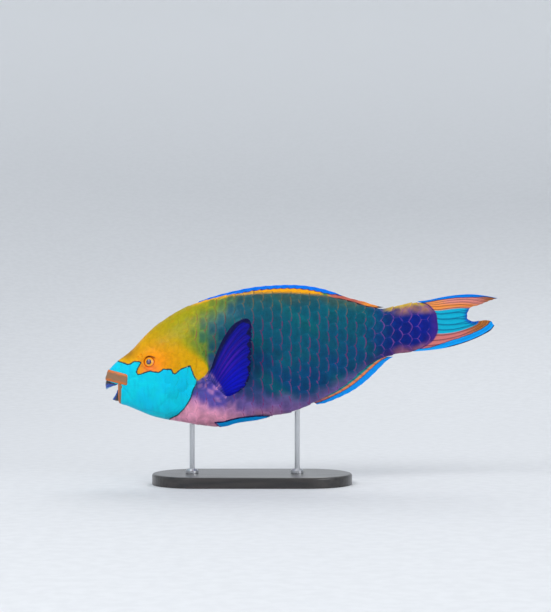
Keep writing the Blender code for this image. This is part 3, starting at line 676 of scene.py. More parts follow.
def rim_paint(points):
    """The colour of the scales' rear rims, which all but vanish on the head."""
    x, z = points[:, 0], points[:, 2]
    height = height_share(x, z)
    body, fade = body_paint(points), yellow_fade(z)
    return painted(
        RIM_MAGENTA,
        (RIM_BACK, ramp(height, 0.72, 0.2)),
        (RIM_LOW, ramp(height, 0.45, -0.3)),
        (body * 0.8, ramp(height, 0.26, -0.14) * ramp(x, 10, -60)),
        (RIM_TAIL, ramp(x, 150, 40)),
        (RIM_OLIVE, soft_step((yellow_end(z) + fade - x + 12) / (2 * fade))),
        (body * 0.86, 1 - past_yellow(points)),
        (CYAN * 0.75, soft_step(mask_depth(*seen(points)) + 0.5)),
    )


def mark(piece, shade=1.0, ahead=0.0):
    """Stores the markings on a piece's vertices.

    The body's colour is darkened by shade, and taken this many millimetres ahead along X.
    """
    points = points_of(piece)
    store(piece, "mask_depth", mask_depth(*seen(points)))
    points[:, 0] += ahead
    store(piece, "tint", body_paint(points) * np.broadcast_to(shade, len(points))[:, None])


def marked_colour(finish):
    """The body's colour with the mask and its dark outline laid over it."""
    mottle = finish.step(finish.noise(180, 4), 0.35, 0.75)
    tint = finish.stained(finish.stored("tint"), mottle, 0.2, colour(90, 90, 120))
    depth = finish.waved(finish.stored("mask_depth", "Fac"), finish.noise(420, 3), 1.8)
    cyan = finish.bands(finish.noise(45, 2), CYAN, (0.35, 0.7, CHIN_CYAN))
    streaks = finish.step(finish.noise(150, 3, (1.6, 1, 0.35)), 0.45, 0.75)
    cyan = finish.mix(finish.times(streaks, 0.25), cyan, colour(0, 150, 196))
    base = finish.bands(depth, tint, (-0.35, 0.35, cyan))
    away = finish.math("ABSOLUTE", finish.math("ADD", depth, -0.2))
    return finish.mix(finish.times(finish.under(away, 0.55, 1.2), 0.9), base, MASK_LINE)


# %% [markdown]
# ## The skin
# Head, trunk and tail stalk are three solids with thin gaps between them. A real fish shows no
# such seams, so one closed skin replaces all three. It is a grid wrapped round the body, dense
# over the head, and its rings bend to follow the gill cover, whose edge then stands up as a
# clean step. Folds, nostrils and the ring round the eye are raised or sunk in the same surface.

# %% Folds, hollows and swellings
FOLDS = [
    ([(-186, 139), (-179, 135), (-172, 127), (-169, 120)], 0.8, 1.6),
    ([(-172, 147), (-165, 150), (-158, 150)], 0.5, 1.5),
    ([(-122, 176), (-113, 166), (-108, 152), (-110, 134), (-118, 118), (-130, 106)], 0.55, 2.2),
    ([(-104, 104), (-98, 112), (-93, 124), (-90, 138)], 0.45, 1.4),
    ([(-152, 104), (-134, 99), (-116, 97), (-104, 99)], 0.5, 1.2),
]
NOSTRILS = [(-157.5, 178.3, 0.9), (-153.5, 181.0, 1.2)]
EYE_RADIUS = 9.5
EYE_PROUD = 3.4
COAT_DEPTH = 0.55


def relief(x, z):
    """How far the skin stands out from the body's plain form, in millimetres."""
    from_eye = np.hypot(x - EYE[0], z - EYE[1])
    high = 0.9 * hump(from_eye / 17) - 2.0 * ramp(from_eye, 9.4, -1.6)
    for line, depth, width in FOLDS:
        high -= depth * hump(line_distance(x, z, line) / width)
    for nostril_x, nostril_z, radius in NOSTRILS:
        away = np.hypot(x - nostril_x, z - nostril_z)
        high += 0.35 * hump((away - radius - 0.5) / 0.55) - 1.5 * hump(away / radius)
    return high + 3.2 * hump(line_distance(x, z, PECTORAL_ROOT) / 8.5)


# %% Wrap a grid round the body
HEAD_WARP_REACH = 84
TRUNK_WARP_REACH = 78
STALK_WARP_REACH = 46
GILL_FLARE = 1.5
FLARE_LENGTH = 13
STATION_SETTLING = 8
SKIN_STATIONS = np.concatenate([
    np.linspace(SNOUT_X + 2.2, -198, 8), np.linspace(-197, GILL_X - 2, 128), [GILL_X - 1, GILL_X - 0.3],
    [GILL_X, GILL_X + 0.25, GILL_X + 0.9, GILL_X + 2], np.linspace(GILL_X + 4, FIN_ROOT_X, 104),
])
SKIN_SIDES = 132


def bent_station(station, z):
    """x of a ring's point: rings follow the gill cover's edge, and the tail fin's root."""
    past = station - GILL_X
    near_gill = np.where(past < 0, 1 + past / HEAD_WARP_REACH, 1 - past / TRUNK_WARP_REACH)
    near_tail = 1 - np.abs(station - FIN_ROOT_X) / STALK_WARP_REACH
    x = station + np.clip(near_gill, 0, 1) * (gill_edge(z) - GILL_X)
    return x + np.clip(near_tail, 0, 1) * (tail_root(z) - FIN_ROOT_X)


def upright_edge(z):
    """Where the gill cover's edge stands up: not at the throat or the nape."""
    return ramp(z, 90, 14) * ramp(z, 206, -26)


def gill_step(station, z):
    """The gill cover's rise towards its rear edge, and the step down behind it."""
    past = station - GILL_X
    rise = GILL_FLARE * soft_step(1 + past / FLARE_LENGTH)
    rise = np.where(station > GILL_X + 0.1, -COAT_DEPTH - 0.5 * hump(past / 2.5), rise)
    plain = np.where(past > 0, -COAT_DEPTH * soft_step(past / 12), 0)
    return blend(plain, rise, upright_edge(z))


def skin_place(across, along):
    """Where the grid's vertices go: across runs round the body from the belly and back to it."""
    station = SKIN_STATIONS[np.rint(along * (len(SKIN_STATIONS) - 1)).astype(int)]
    side = np.where(across <= 0.5, 1.0, -1.0)
    share = np.where(across <= 0.5, across * 2, (1 - across) * 2)
    z = on_flank(station, blend(*arc_limits(station), share))[:, 2]
    middle, power, reach = half_form(station, z > widest_level(station))
    lift = np.clip((z - middle) / reach, -1, 1)
    angle = np.arcsin(np.sign(lift) * np.abs(lift) ** (power / 2))
    for _ in range(STATION_SETTLING):
        x = bent_station(station, z)
        y, z = section(x, angle)
    edge = (share < 1e-6) | (share > 1 - 1e-6)
    y = np.where(edge, 0, y)
    outward = np.stack([np.zeros_like(x), y / half_width(x) ** 2, (z - middle) / reach**2], axis=-1)
    outward = unit(outward)
    outward[edge, 1] = 0
    point = np.stack([x, y, z], axis=-1) + outward * gill_step(station, z)[:, None]
    point[:, 1] *= side
    return point


def wrapped_skin():
    """The closed skin, with finer faces round the nostrils and its relief raised along its normals."""
    bm = close_up(laid_grid(2 * SKIN_SIDES, len(SKIN_STATIONS) - 1, skin_place), merge=0.01)
    for x, z, _ in NOSTRILS:
        near = {v for v in bm.verts if math.hypot(v.co.x - x, v.co.z - z) < 3.6}
        edges = [e for e in bm.edges if set(e.verts) <= near]
        bmesh.ops.subdivide_edges(bm, edges=edges, cuts=2, use_grid_fill=True)
    bm.normal_update()
    places = np.array([v.co for v in bm.verts])
    for vert, high in zip(bm.verts, relief(places[:, 0], places[:, 2])):
        vert.co += vert.normal * high
    return bm


# %% [markdown]
# ## The open mouth
# The lower jaw has dropped, so the mouth gapes at the front. The gap is cut from the skin with
# two closed shapes: a wedge in front of the lower jaw, and a rounded pocket for the mouth's
# inside. A Boolean suits this, because both cuts have crisp edges that the lips cover later.

# %% Cut the mouth
MOUTH_CORNER = (-184.1, 139.1)
UPPER_JAW_FRONT = (-208.6, 146.3)
LOWER_JAW_X = -185.6
CHIN_Z = 113
POCKET_CENTRE_Z = 130.5
POCKET_HALF_WIDTH = 9.4
POCKET_HALF_HEIGHT = 10.6
POCKET_SHAPE = [(-6, 1.0), (0, 1.0), (4, 0.97), (9, 0.85), (13, 0.62), (15.5, 0.3)]


def closed_loft(rings):
    """A bmesh of a tube through rings of points, closed at both ends."""
    bm = bmesh.new()
    loops = []
    for ring in rings:
        capped = ring is rings[0] or ring is rings[-1]
        made = bmesh.ops.create_circle(bm, segments=len(ring), radius=1, cap_ends=capped)["verts"]
        for vert, point in zip(made, ring):
            vert.co = point
        loops.append(list({e for v in made for e in v.link_edges}))
    for a, b in zip(loops, loops[1:]):
        bmesh.ops.bridge_loops(bm, edges=a + b)
    bmesh.ops.recalc_face_normals(bm, faces=bm.faces)
    return bm


def mouth_wedge():
    (corner_x, corner_z), (front_x, front_z) = MOUTH_CORNER, UPPER_JAW_FRONT
    side = [
        (corner_x, corner_z), (front_x - 10, front_z + 3.1), (front_x - 10, 90),
        (LOWER_JAW_X + 1, 90), (LOWER_JAW_X, CHIN_Z), (LOWER_JAW_X, corner_z - 6),
    ]
    return closed_loft([[Vector((x, y, z)) for x, z in side] for y in (-40, 40)])


def mouth_pocket():
    rings = []
    for depth, width in POCKET_SHAPE:
        level = POCKET_CENTRE_Z + depth * 0.15
        wide, high = POCKET_HALF_WIDTH * width, POCKET_HALF_HEIGHT * width
        rings.append([
            Vector((LOWER_JAW_X + depth, wide * math.sin(a), level + high * math.cos(a)))
            for a in turns_of(40)
        ])
    return closed_loft(rings)


def cut_away(piece, bm):
    """Cuts a closed shape in millimetres out of a piece."""
    bmesh.ops.scale(bm, vec=(MM, MM, MM), verts=bm.verts)
    cutter = object_of("cutter", bm)
    cut = piece.modifiers.new("cut", "BOOLEAN")
    cut.object = cutter
    cut.operation = "DIFFERENCE"
    cut.solver = "EXACT"
    graph = bpy.context.evaluated_depsgraph_get()
    shaped = bpy.data.meshes.new_from_object(piece.evaluated_get(graph))
    piece.modifiers.remove(cut)
    piece.data = shaped
    bpy.data.objects.remove(cutter)


# %% The skin's finish
WET_SKIN = {"Coat_Weight": 0.05, "Coat_Roughness": 0.12}


def skin_finish():
    """Satin wet skin: the markings, a fine grain and slow changes of tone."""
    finish = Finish("fish_skin", Specular_IOR_Level=0.1, **WET_SKIN)
    tones = finish.step(finish.noise(70, 4), 0.3, 0.75)
    base = finish.stained(marked_colour(finish), tones, 0.1, colour(30, 40, 60))
    grain = finish.noise(1300, 4)
    normal = finish.bump(grain, 0.00018, finish.bump(finish.noise(260, 2), 0.00035))
    return finish.done(base, normal, finish.scaled(grain, 0.25, 0.25))


SKIN_FINISH = skin_finish()
skin = new_piece("skin", wrapped_skin(), SKIN_FINISH, "yellow_head", "head", "torso", "tail_stalk")
cut_away(skin, mouth_wedge())
cut_away(skin, mouth_pocket())
skin.data.shade_smooth()
skin.data.set_sharp_from_angle(angle=math.radians(50))
mark(skin)
print("skin after the cuts:", len(skin.data.polygons), "faces")

# %% [markdown]
# ## Scales
# A parrotfish has very large round-edged scales. Each grows from a pocket in the skin, lies over
# the roots of the scales behind it, and its free rear edge shows as an arc. So each one here is a
# thin closed plate of a few dozen faces: a grid with a skirt, copied for each place of a lattice
# that follows the flank, and bent to it. Alternate columns are shifted by half a scale. Magenta
# pigment lies along the rear edge, so each vertex keeps its distance from that edge.

# %% One plate
PLATE_ACROSS = 8
PLATE_ALONG = np.array([0, 0.3, 0.55, 0.78, 0.93, 1.0])
TOP, SKIRT = 0.0, 1.0


def plate_template():
    """A plate whose vertices hold (along, across from -1 to 1, top or skirt)."""
    bm = bmesh.new()
    bmesh.ops.create_grid(bm, x_segments=len(PLATE_ALONG) - 1, y_segments=PLATE_ACROSS, size=0.5)
    for vert in bm.verts:
        row = round((vert.co.x + 0.5) * (len(PLATE_ALONG) - 1))
        vert.co = (PLATE_ALONG[row], vert.co.y * 2, TOP)
    rim = [e for e in bm.edges if e.is_boundary]
    made = bmesh.ops.extrude_edge_only(bm, edges=rim)["geom"]
    for vert in [v for v in made if isinstance(v, bmesh.types.BMVert)]:
        vert.co.z = SKIRT
    bmesh.ops.holes_fill(bm, edges=[e for e in bm.edges if e.is_boundary], sides=0)
    mesh = bpy.data.meshes.new("plate")
    bm.to_mesh(mesh)
    bm.free()
    return mesh


# %% The lattice of scales
COLUMN_PITCH = 13.0
PLATE_LENGTH = 20.0
COLUMNS = 32
row_height = smooth_line([(-140, 17), (-90, 20), (-40, 22), (40, 21.5), (110, 19), (160, 17.5), (260, 17)])
edge_depth = smooth_line([(-140, 5), (-60, 3), (0, 2.4), (110, 2.4), (150, 3.2), (185, 5.4), (260, 5.6)])
plate_rise = smooth_line([
    (-140, 0.22), (-90, 0.38), (-50, 0.75), (120, 0.85), (170, 1.05), (230, 0.9), (260, 0.6),
])


def grows_scale(x, z, arc, low, high):
    """Whether a scale whose rear edge is at x and z belongs on the fish."""
    if not low - 4 < arc < high + 4 or x > float(tail_root(z)) + 1:
        return False
    if line_distance(np.array([x - 4]), np.array([z]), PECTORAL_ROOT)[0] < 8:
        return False
    past_gill = x - float(gill_edge(z))
    if past_gill > 4:
        return True
    nape = z > 198 + 0.25 * (x + 80) and x > -128
    cover = x > -108 and 112 < z and past_gill < -3
    return bool(nape or cover)


def scale_places(seed):
    """(x, arc, row, column, random) for each scale of one side."""
    chance = random.Random(seed)
    places = []
    for column in range(COLUMNS):
        x = -140 + column * COLUMN_PITCH
        low, high = (float(v[0]) for v in arc_limits(np.array([x])))
        pitch = float(row_height(x))
        for row in range(-8, 9):
            arc = (row + 0.5 * (column % 2)) * pitch
            z = float(on_flank(np.array([x]), np.array([arc]))[0, 2])
            if grows_scale(x, z, arc, low, high):
                shift = chance.uniform(-0.5, 0.5)
                slip = chance.uniform(-0.4, 0.4)
                places.append((x + shift, arc + slip, row, column, chance.random()))
    return places


# %% Bend the plates to the flank


def over_ridge(x, arc):
    """Points and normals on the flank, which pass over the back or the belly to the other side."""
    low, high = arc_limits(x)
    folded = np.where(arc > high, 2 * high - arc, np.where(arc < low, 2 * low - arc, arc))
    point, normal = on_flank(x, folded), flank_normal(x, folded)
    crossed = (arc > high) | (arc < low)
    point[crossed, 1] *= -1
    normal[crossed, 1] *= -1
    return point, normal

def gill_rise(x, z):
    """How far the gill cover has risen at x."""
    ahead = gill_edge(z) - x
    along = np.where(ahead < -0.5, 0, soft_step(1 - ahead / FLARE_LENGTH))
    return GILL_FLARE * along * upright_edge(z)


def make_scales(name, side, seed):
    places = scale_places(seed)
    template = plate_template()
    bm = bmesh.new()
    for _ in places:
        bm.from_mesh(template)
    shape = np.array([v.co for v in bm.verts]).reshape(len(places), -1, 3)
    along, across, layer = np.moveaxis(shape, 2, 0)
    home_x, home_arc, row, column, luck = np.moveaxis(np.array(places)[:, None, :], 2, 0)
    half = row_height(home_x) * 0.53
    power = blend(2.4, 1.5, ramp(home_x, 160, 30))
    length = PLATE_LENGTH - edge_depth(home_x) * np.abs(across) ** power
    x = home_x - PLATE_LENGTH + along * length
    x = x - 1.3 * across * along * ramp(home_x, -90, 40) * ramp(home_x, 160, -40)
    swell = np.sqrt(np.clip(1 - 0.35 * (1 - along) ** 2, 0, 1))
    x, arc = x.ravel(), (home_arc + across * half * swell).ravel()
    point, normal = over_ridge(x, arc)
    raised = plate_rise(home_x) * (0.92 + 0.16 * luck)
    high = raised * (1.55 * along - 0.55) - 0.32 * np.abs(across) ** 3
    high -= np.where(along > 0.99, 0.12, 0)
    high = np.where(layer > 0.5, -1.3, high - COAT_DEPTH + 0.25).ravel()
    high += COAT_DEPTH * soft_step((gill_edge(point[:, 2]) - x) / 2)
    high += relief(point[:, 0], point[:, 2]) + gill_rise(point[:, 0], point[:, 2])
    high -= 0.9 * soft_step((x - tail_root(point[:, 2]) + 6) / 6)
    point += normal * high[:, None]
    point[:, 1] *= side
    for vert, place in zip(bm.verts, point):
        vert.co = place
    bmesh.ops.recalc_face_normals(bm, faces=bm.faces)
    piece = new_piece(name, bm, SCALE_FINISH, "teal_body", sharp=38)
    edge = (1 - along) * length
    dark_middle = (hump((edge - 6.8) / 4.4) * hump((across / 0.95) ** 2)).ravel()
    past = past_yellow(point)
    ahead = blend(-5, 9, dark_middle) * (past * ramp(point[:, 0], 10, -30))
    mark(piece, blend(1.0, blend(1.16, 0.78, dark_middle), past), ahead)
    store(piece, "rim_tint", rim_paint(points_of(piece)))
    side_edge = (1 - np.abs(across)) * half + 4 * ramp(home_x, 190, -25)
    past = past.reshape(edge.shape)
    spread = luck * past + 0.5 * (1 - past)
    store(piece, "scale_at", np.stack([edge, side_edge, spread], axis=-1).reshape(-1, 3))
    cell_u = (column + 0.08 + 0.84 * along) / 34
    cell_v = (row + 9 + 0.5 * (column % 2) + 0.08 + 0.42 * (across + 1)) / 19
    store_uv(piece, np.stack([cell_u.ravel(), cell_v.ravel()], axis=-1))


def store_uv(piece, places):
    """A UV map, OFBake, in which each plate has a cell of its own."""
    uv = piece.data.uv_layers.new(name="OFBake")
    corner = np.empty(len(piece.data.loops), int)
    piece.data.loops.foreach_get("vertex_index", corner)
    uv.data.foreach_set("uv", places[corner].ravel())


# %% The scales' finish


def scale_finish():
    """Horny plates: pigment rims, a tone of their own, and a fine streaked grain."""
    finish = Finish("fish_scales", Specular_IOR_Level=0.08, **WET_SKIN)
    edge, side_edge, luck = finish.apart(finish.stored("scale_at"))
    tone = finish.scaled(luck, 0.45, 0.75)
    shade = finish.node("CombineColor", None, _0=tone, _1=tone, _2=tone).outputs[0]
    base = finish.mix(0.4, marked_colour(finish), shade, "MULTIPLY")
    near = finish.math("MINIMUM", edge, finish.math("ADD", side_edge, 0.9))
    rim = finish.under(finish.waved(near, finish.noise(300, 3), 3.0), 0.3, 2.1)
    rim = finish.times(rim, finish.step(finish.noise(120, 2), 0.32, 0.6))
    base = finish.mix(finish.times(rim, 0.88), base, finish.stored("rim_tint"))
    grain = finish.noise(900, 3, (0.35, 1, 1.6))
    base = finish.stained(base, grain, 0.22, colour(20, 30, 50))
    return finish.done(base, finish.bump(grain, 0.0003), finish.scaled(grain, 0.25, 0.26))


SCALE_FINISH = scale_finish()
make_scales("scales_left", -1, 5)
make_scales("scales_right", 1, 6)

# %% [markdown]
# ## Eyes and lids
# The eye is a wet ball: a violet pupil in a golden ring, with a brown line round it. The ball is
# a sphere whose pole points out of the head, so its rings of vertices lie round the pupil, and
# the finish reads each vertex's distance from the pole. The lids are a low ring of skin round
# it: a section swept in a circle, whose outer foot runs in under the skin.

# %% Directions out of the head
RIGHT, LEFT = 1, -1


def skin_normal(x, z, side):
    """The outward direction of the flank at one place."""
    slope_x = float(flank(x + 1, z) - flank(x - 1, z)) / 2
    slope_z = float(flank(x, z + 1) - flank(x, z - 1)) / 2
    return Vector((-slope_x, side, -slope_z)).normalized()


def eye_frame(side):
    """The eyeball's centre and its axes: out of the head, along it and up."""
    surface = float(flank(*EYE))
    centre = Vector((EYE[0], side * (surface + EYE_PROUD - EYE_RADIUS), EYE[1]))
    out = skin_normal(*EYE, side)
    ahead = out.cross(Vector((0, 0, 1))).normalized() * side
    up = Vector((0, 0, 1)) - out * out.z
    return centre, out, ahead, up.normalized()


# %% The eyeballs


def make_eye(name, side):
    centre, out, ahead, up = eye_frame(side)
    bm = bmesh.new()
    bmesh.ops.create_uvsphere(bm, u_segments=64, v_segments=64, radius=EYE_RADIUS)
    from_pole = []
    for vert in bm.verts:
        ring = math.hypot(vert.co.x, vert.co.y) if vert.co.z > 0 else 2 * EYE_RADIUS
        bulge = 0.35 * math.exp(-((ring / 4.2) ** 4)) - 0.25 * math.exp(-(((ring - 5.0) / 0.5) ** 2))
        local = vert.co * (1 + bulge / EYE_RADIUS)
        vert.co = centre + ahead * local.x + up * local.y + out * local.z
        from_pole.append(ring)
    bmesh.ops.recalc_face_normals(bm, faces=bm.faces)
    piece = new_piece(name, bm, EYE_FINISH, "orange_eye", name)
    store(piece, "from_pole", from_pole)


def eye_finish():
    """A dark violet pupil with a lighter centre that is a painted glint, a gold ring that deepens to orange,
    and a brown line, all under gloss.
    """
    finish = Finish("wet_eye", roughness=0.3, Coat_Weight=0.7, Coat_Roughness=0.03)
    fibres = finish.noise(1500, 3)
    # The pupil's lighter centre, fading to dark violet by 2.8 mm from the pole, is a painted glint.
    base = finish.bands(
        finish.waved(finish.stored("from_pole", "Fac"), fibres, 0.5), colour(118, 98, 132),
        (0.6, 2.8, colour(62, 40, 76)), (3.0, 3.4, colour(90, 40, 16)), (3.5, 3.9, colour(255, 182, 8)),
        (4.8, 6.0, colour(255, 150, 4)), (6.1, 6.6, colour(186, 86, 8)), (6.9, 7.3, colour(250, 140, 20)),
    )
    base = finish.stained(base, fibres, 0.16, colour(150, 80, 10))
    return finish.done(base, finish.bump(fibres, 0.00008))


EYE_FINISH = eye_finish()
make_eye("eye_left", LEFT)
make_eye("eye_right", RIGHT)

# %% The lids
LID_PROFILE = [
    (14.0, -0.35), (12.8, 0.05), (11.6, 0.3), (10.4, 1.1), (9.6, 2.2), (9.0, 2.75), (8.5, 2.7),
    (8.0, 2.3), (7.7, 1.7),
]
LID_INSIDE = [(7.3, 4.6), (8.6, 3.0), (13.0, 2.0)]
LID_SEGMENTS = 96
SKIN_SEARCH = 5


def to_skin(point, out, side):
    """Distance along out from a point to the skin with its relief."""
    gone = 0.0
    for _ in range(SKIN_SEARCH):
        here = point + out * gone
        wanted = float(flank(here.x, here.z) + relief(np.array([here.x]), np.array([here.z]))[0])
        gone += (wanted - here.y * side) / (out.y * side)
    return gone


def swept(rings, closed=False):
    """One grid wrapped through like sections: a closed ring, or a tube with filled ends."""
    table = np.array([[list(p) for p in ring] for ring in rings])
    count, around = table.shape[:2]
    steps = count if closed else count - 1

    def place(across, along):
        i = np.rint(across * steps).astype(int) % count
        return table[i, np.rint(along * around).astype(int) % around]

    return close_up(laid_grid(steps, around, place))


def make_lid(name, side):
    centre, out, ahead, up = eye_frame(side)
    rings = []
    for turn in turns_of(LID_SEGMENTS):
        radial = ahead * math.cos(turn) + up * math.sin(turn)
        brow = 1 + 0.45 * math.sin(turn)
        ring = []
        for reach, high in LID_PROFILE:
            foot = centre + radial * reach
            ring.append(foot + out * (to_skin(foot, out, side) + high * brow))
        ring += [centre + radial * reach + out * level for reach, level in LID_INSIDE]
        rings.append(ring)
    mark(new_piece(name, swept(rings, closed=True), SKIN_FINISH, "yellow_head"))


make_lid("eyelid_left", LEFT)
make_lid("eyelid_right", RIGHT)

# %% [markdown]
# ## Lips
# The upper lip is a thick flat band round the snout, and the lower one a narrow roll round the
# front of the dropped jaw. Each is a rounded section swept along the skin it grows from.

# %% Sweep a rounded section
UPPER_LIP_PLAN = [
    (-172.6, 146), (-176, 146.8), (-182, 148.2), (-188, 149.6), (-193, 150.7), (-197, 151.6), (-199, 152),
    (-200.2, 152.3),
]
UPPER_LIP_HALF = 7.7
UPPER_LIP_LEAN = 0.27
UPPER_LIP_STATIONS = 141
UPPER_LIP_TAPER = (64, 6.2)
LOWER_LIP_HALF = 3.5
LOWER_LIP_X = LOWER_JAW_X + 2.8
LOWER_LIP_TAPER = (0.93, 0.072)


def band_section(centre, out, up, half_height, half_depth, power, count=28):
    """A rounded box in the plane of out and up."""
    points = []
    for turn in turns_of(count):
        c, s = math.cos(turn), math.sin(turn)
        a = math.copysign(abs(c) ** (2 / power), c) * half_depth
        b = math.copysign(abs(s) ** (2 / power), s) * half_height
        points.append(centre + out * a + up * b)
    return points


def smooth_path(keys):
    """A smooth path through points, as a function of the share of its length."""
    points = np.array(keys, float)
    length = np.concatenate([[0], np.cumsum(np.linalg.norm(np.diff(points, axis=0), axis=1))])
    lines = [smooth_line(list(zip(length / length[-1], column))) for column in points.T]
    return lambda share: np.stack([line(share) for line in lines], axis=-1)


def rounded_end(away, start, length):
    """1 up to start, then rounding off to 0 over a length."""
    return math.sqrt(max(0.0, 1 - (max(0.0, away - start) / length) ** 2))


def make_upper_lip():
    side = [(x, float(flank(x, z)) - 0.6, z) for x, z in UPPER_LIP_PLAN]
    front = [(-201.3, 4.0, 152.6), (-201.7, 0.0, 152.7), (-201.3, -4.0, 152.6)]
    last = UPPER_LIP_STATIONS - 1
    whole = smooth_path(side + front + [(x, -y, z) for x, y, z in reversed(side)])
    path = whole(np.linspace(0, 1, UPPER_LIP_STATIONS))
    rings = []
    for i, point in enumerate(path):
        ahead = Vector(path[min(i + 1, last)] - path[max(i - 1, 0)])
        out = Vector((ahead.y, -ahead.x, 0)).normalized()
        up = Vector((UPPER_LIP_LEAN * max(0.0, -out.x), 0, 1)).normalized()
        end = rounded_end(abs(i - last // 2), *UPPER_LIP_TAPER)
        spread = UPPER_LIP_HALF * (0.66 + 0.34 * end)
        ring = []
        for spot in band_section(Vector(), Vector((1, 0, 0)), Vector((0, 0, 1)), 1.0, 1.0, 2.9, 36):
            depth = spot.x * (2.5 - 0.5 * math.exp(-((spot.z - 0.1) / 0.28) ** 2))
            ring.append(Vector(point) + out * depth * (0.1 + 0.9 * end) + up * spot.z * spread)
        rings.append(ring)
    piece = new_piece("lip_upper", swept(rings), LIP_FINISH, "yellow_head")
    points = points_of(piece)
    middle = np.interp(-points[:, 0], [-x for x, _ in UPPER_LIP_PLAN], [z for _, z in UPPER_LIP_PLAN])
    store(piece, "from_middle", np.abs(points[:, 2] - middle) / UPPER_LIP_HALF)


def make_lower_lip():
    rings = []
    for share in np.linspace(-1, 1, 97):
        angle = math.radians(blend(-90, -4, abs(share)))
        y, z = section(np.array([LOWER_JAW_X + 1]), np.array([angle]))
        rim = Vector((0, math.copysign(float(y[0]), share), float(z[0])))
        out = Vector((0, rim.y * 1.5, rim.z - 136)).normalized()
        centre = Vector((LOWER_LIP_X, 0, 0)) + rim - out * 1.9
        half = LOWER_LIP_HALF * (0.35 + 0.65 * rounded_end(abs(share), *LOWER_LIP_TAPER))
        rings.append(band_section(centre, out, Vector((1, 0, 0)), half, half * 0.85, 2.4, 24))
    piece = new_piece("lip_lower", swept(rings), LIP_FINISH, "yellow_head")
    store(piece, "from_middle", np.abs(points_of(piece)[:, 0] - LOWER_LIP_X) / LOWER_LIP_HALF)


def lip_finish():
    """Soft moist skin, brown pink along the middle and orange towards the edges."""
    finish = Finish("lip_skin", Specular_IOR_Level=0.3, Coat_Weight=0.2, Coat_Roughness=0.2)
    lumps, fine = finish.noise(170, 3), finish.noise(1000, 3)
    from_middle = finish.waved(finish.stored("from_middle", "Fac"), lumps, 0.7)
    base = finish.bands(from_middle, colour(150, 112, 80), (0.35, 0.95, colour(222, 112, 36)))
    base = finish.stained(base, fine, 0.22, colour(110, 50, 40))
    normal = finish.bump(fine, 0.00018, finish.bump(lumps, 0.0005))
    return finish.done(base, normal, finish.scaled(fine, 0.25, 0.3))


LIP_FINISH = lip_finish()
make_upper_lip()
make_lower_lip()

# %% [markdown]
# ## The beak
# A parrotfish's teeth are fused into two beak plates. Each is a curved wall: two grids back
# to back, joined round their edge. The cutting edge is scalloped where single teeth end, a groove
# parts the left and right plates, and the deep blue pales to the cutting edge. The lower plate
# keeps the dark root colour over more of its height, as painted shadow.

# %% Two grids back to back


def leaf(columns, rows, place):
    """A closed thin sheet, and each vertex's (across, along, face), face being 1 or -1."""
    bm = bmesh.new()
    bmesh.ops.create_grid(bm, x_segments=columns, y_segments=rows, size=0.5)
    other = bmesh.ops.duplicate(bm, geom=bm.verts[:] + bm.edges[:] + bm.faces[:])["geom"]
    copies = {v for v in other if isinstance(v, bmesh.types.BMVert)}
    bmesh.ops.reverse_faces(bm, faces=[f for f in other if isinstance(f, bmesh.types.BMFace)])
    bmesh.ops.bridge_loops(bm, edges=[e for e in bm.edges if e.is_boundary])
    share = np.array([(v.co.x + 0.5, v.co.y + 0.5, 1.0 if v in copies else -1.0) for v in bm.verts])
    for vert, point in zip(bm.verts, place(*share.T)):
        vert.co = point
    bmesh.ops.recalc_face_normals(bm, faces=bm.faces)
    if bm.calc_volume(signed=True) < 0:
        bmesh.ops.reverse_faces(bm, faces=bm.faces)
    return bm, share


# %% The beak's plates
BEAK_GAP = 0.3
BEAK_HEIGHT = 12.4
BEAK_THICKNESS = 2.6
TEETH = 11


def jaw_flat(x):
    """Height of the upper jaw's flat underside."""
    (corner_x, corner_z), (front_x, front_z) = MOUTH_CORNER, UPPER_JAW_FRONT
    return blend(corner_z, front_z, (x - corner_x) / (front_x - corner_x))


def tooth_relief(share, down):
    """Rows of small tooth ends in the plate, and the groove between its halves."""
    rows = np.sin(math.pi * share * TEETH * 2) * np.sin(math.pi * down * 7)
    return 0.16 * rows * ramp(down, 0.25, 0.4) - 0.9 * hump((share - 0.5) / 0.012)


def tooth_notch(share, down, depth):
    """The gaps between tooth ends along the cutting edge."""
    return depth * (1 - np.abs(np.sin(math.pi * share * TEETH)) ** 0.6) * ramp(down, 0.8, 0.2)


def wall_relief(share, down, face, swell, sunk):
    """The wall's swell and teeth on the outer face, and its thickness off the inner one."""
    inset = np.where(face > 0, 0, BEAK_THICKNESS * blend(1.0, 0.3, down**1.5))
    bulge = swell * np.sin(math.pi * np.minimum(1, down * 0.9 + 0.1)) - sunk
    return bulge + np.where(face > 0, tooth_relief(share, down), 0) - inset


def upper_beak_place(share, down, face):
    angle = np.radians(blend(-84, 84, share))
    stands = wall_relief(share, down, face, 1.5, 0.6)
    x = -188.0 - (15.8 + stands) * np.cos(angle) - 1.2 * down * np.cos(angle)
    height = BEAK_HEIGHT * blend(0.16, 1.0, np.cos(angle) ** 1.3)
    root = jaw_flat(x) + 1.2 * (1 - down)
    z = root - BEAK_GAP - height * down + tooth_notch(share, down, 0.55)
    return np.stack([x, (11.2 + stands) * np.sin(angle), z], axis=1)


def lower_beak_place(share, ahead, face):
    angle = np.radians(blend(-78, 78, share))
    stands = wall_relief(share, ahead, face, 1.2, 0.4)
    z = 135.5 - (19.6 + stands) * np.cos(angle) + 1.6 * ahead * np.cos(angle)
    reach = 9.6 * blend(0.12, 1.0, np.cos(angle) ** 1.6)
    x = LOWER_JAW_X + 1.5 * (1 - ahead) - BEAK_GAP - reach * ahead + tooth_notch(share, ahead, 0.5)
    return np.stack([x, (9.6 + stands) * np.sin(angle), z], axis=1)


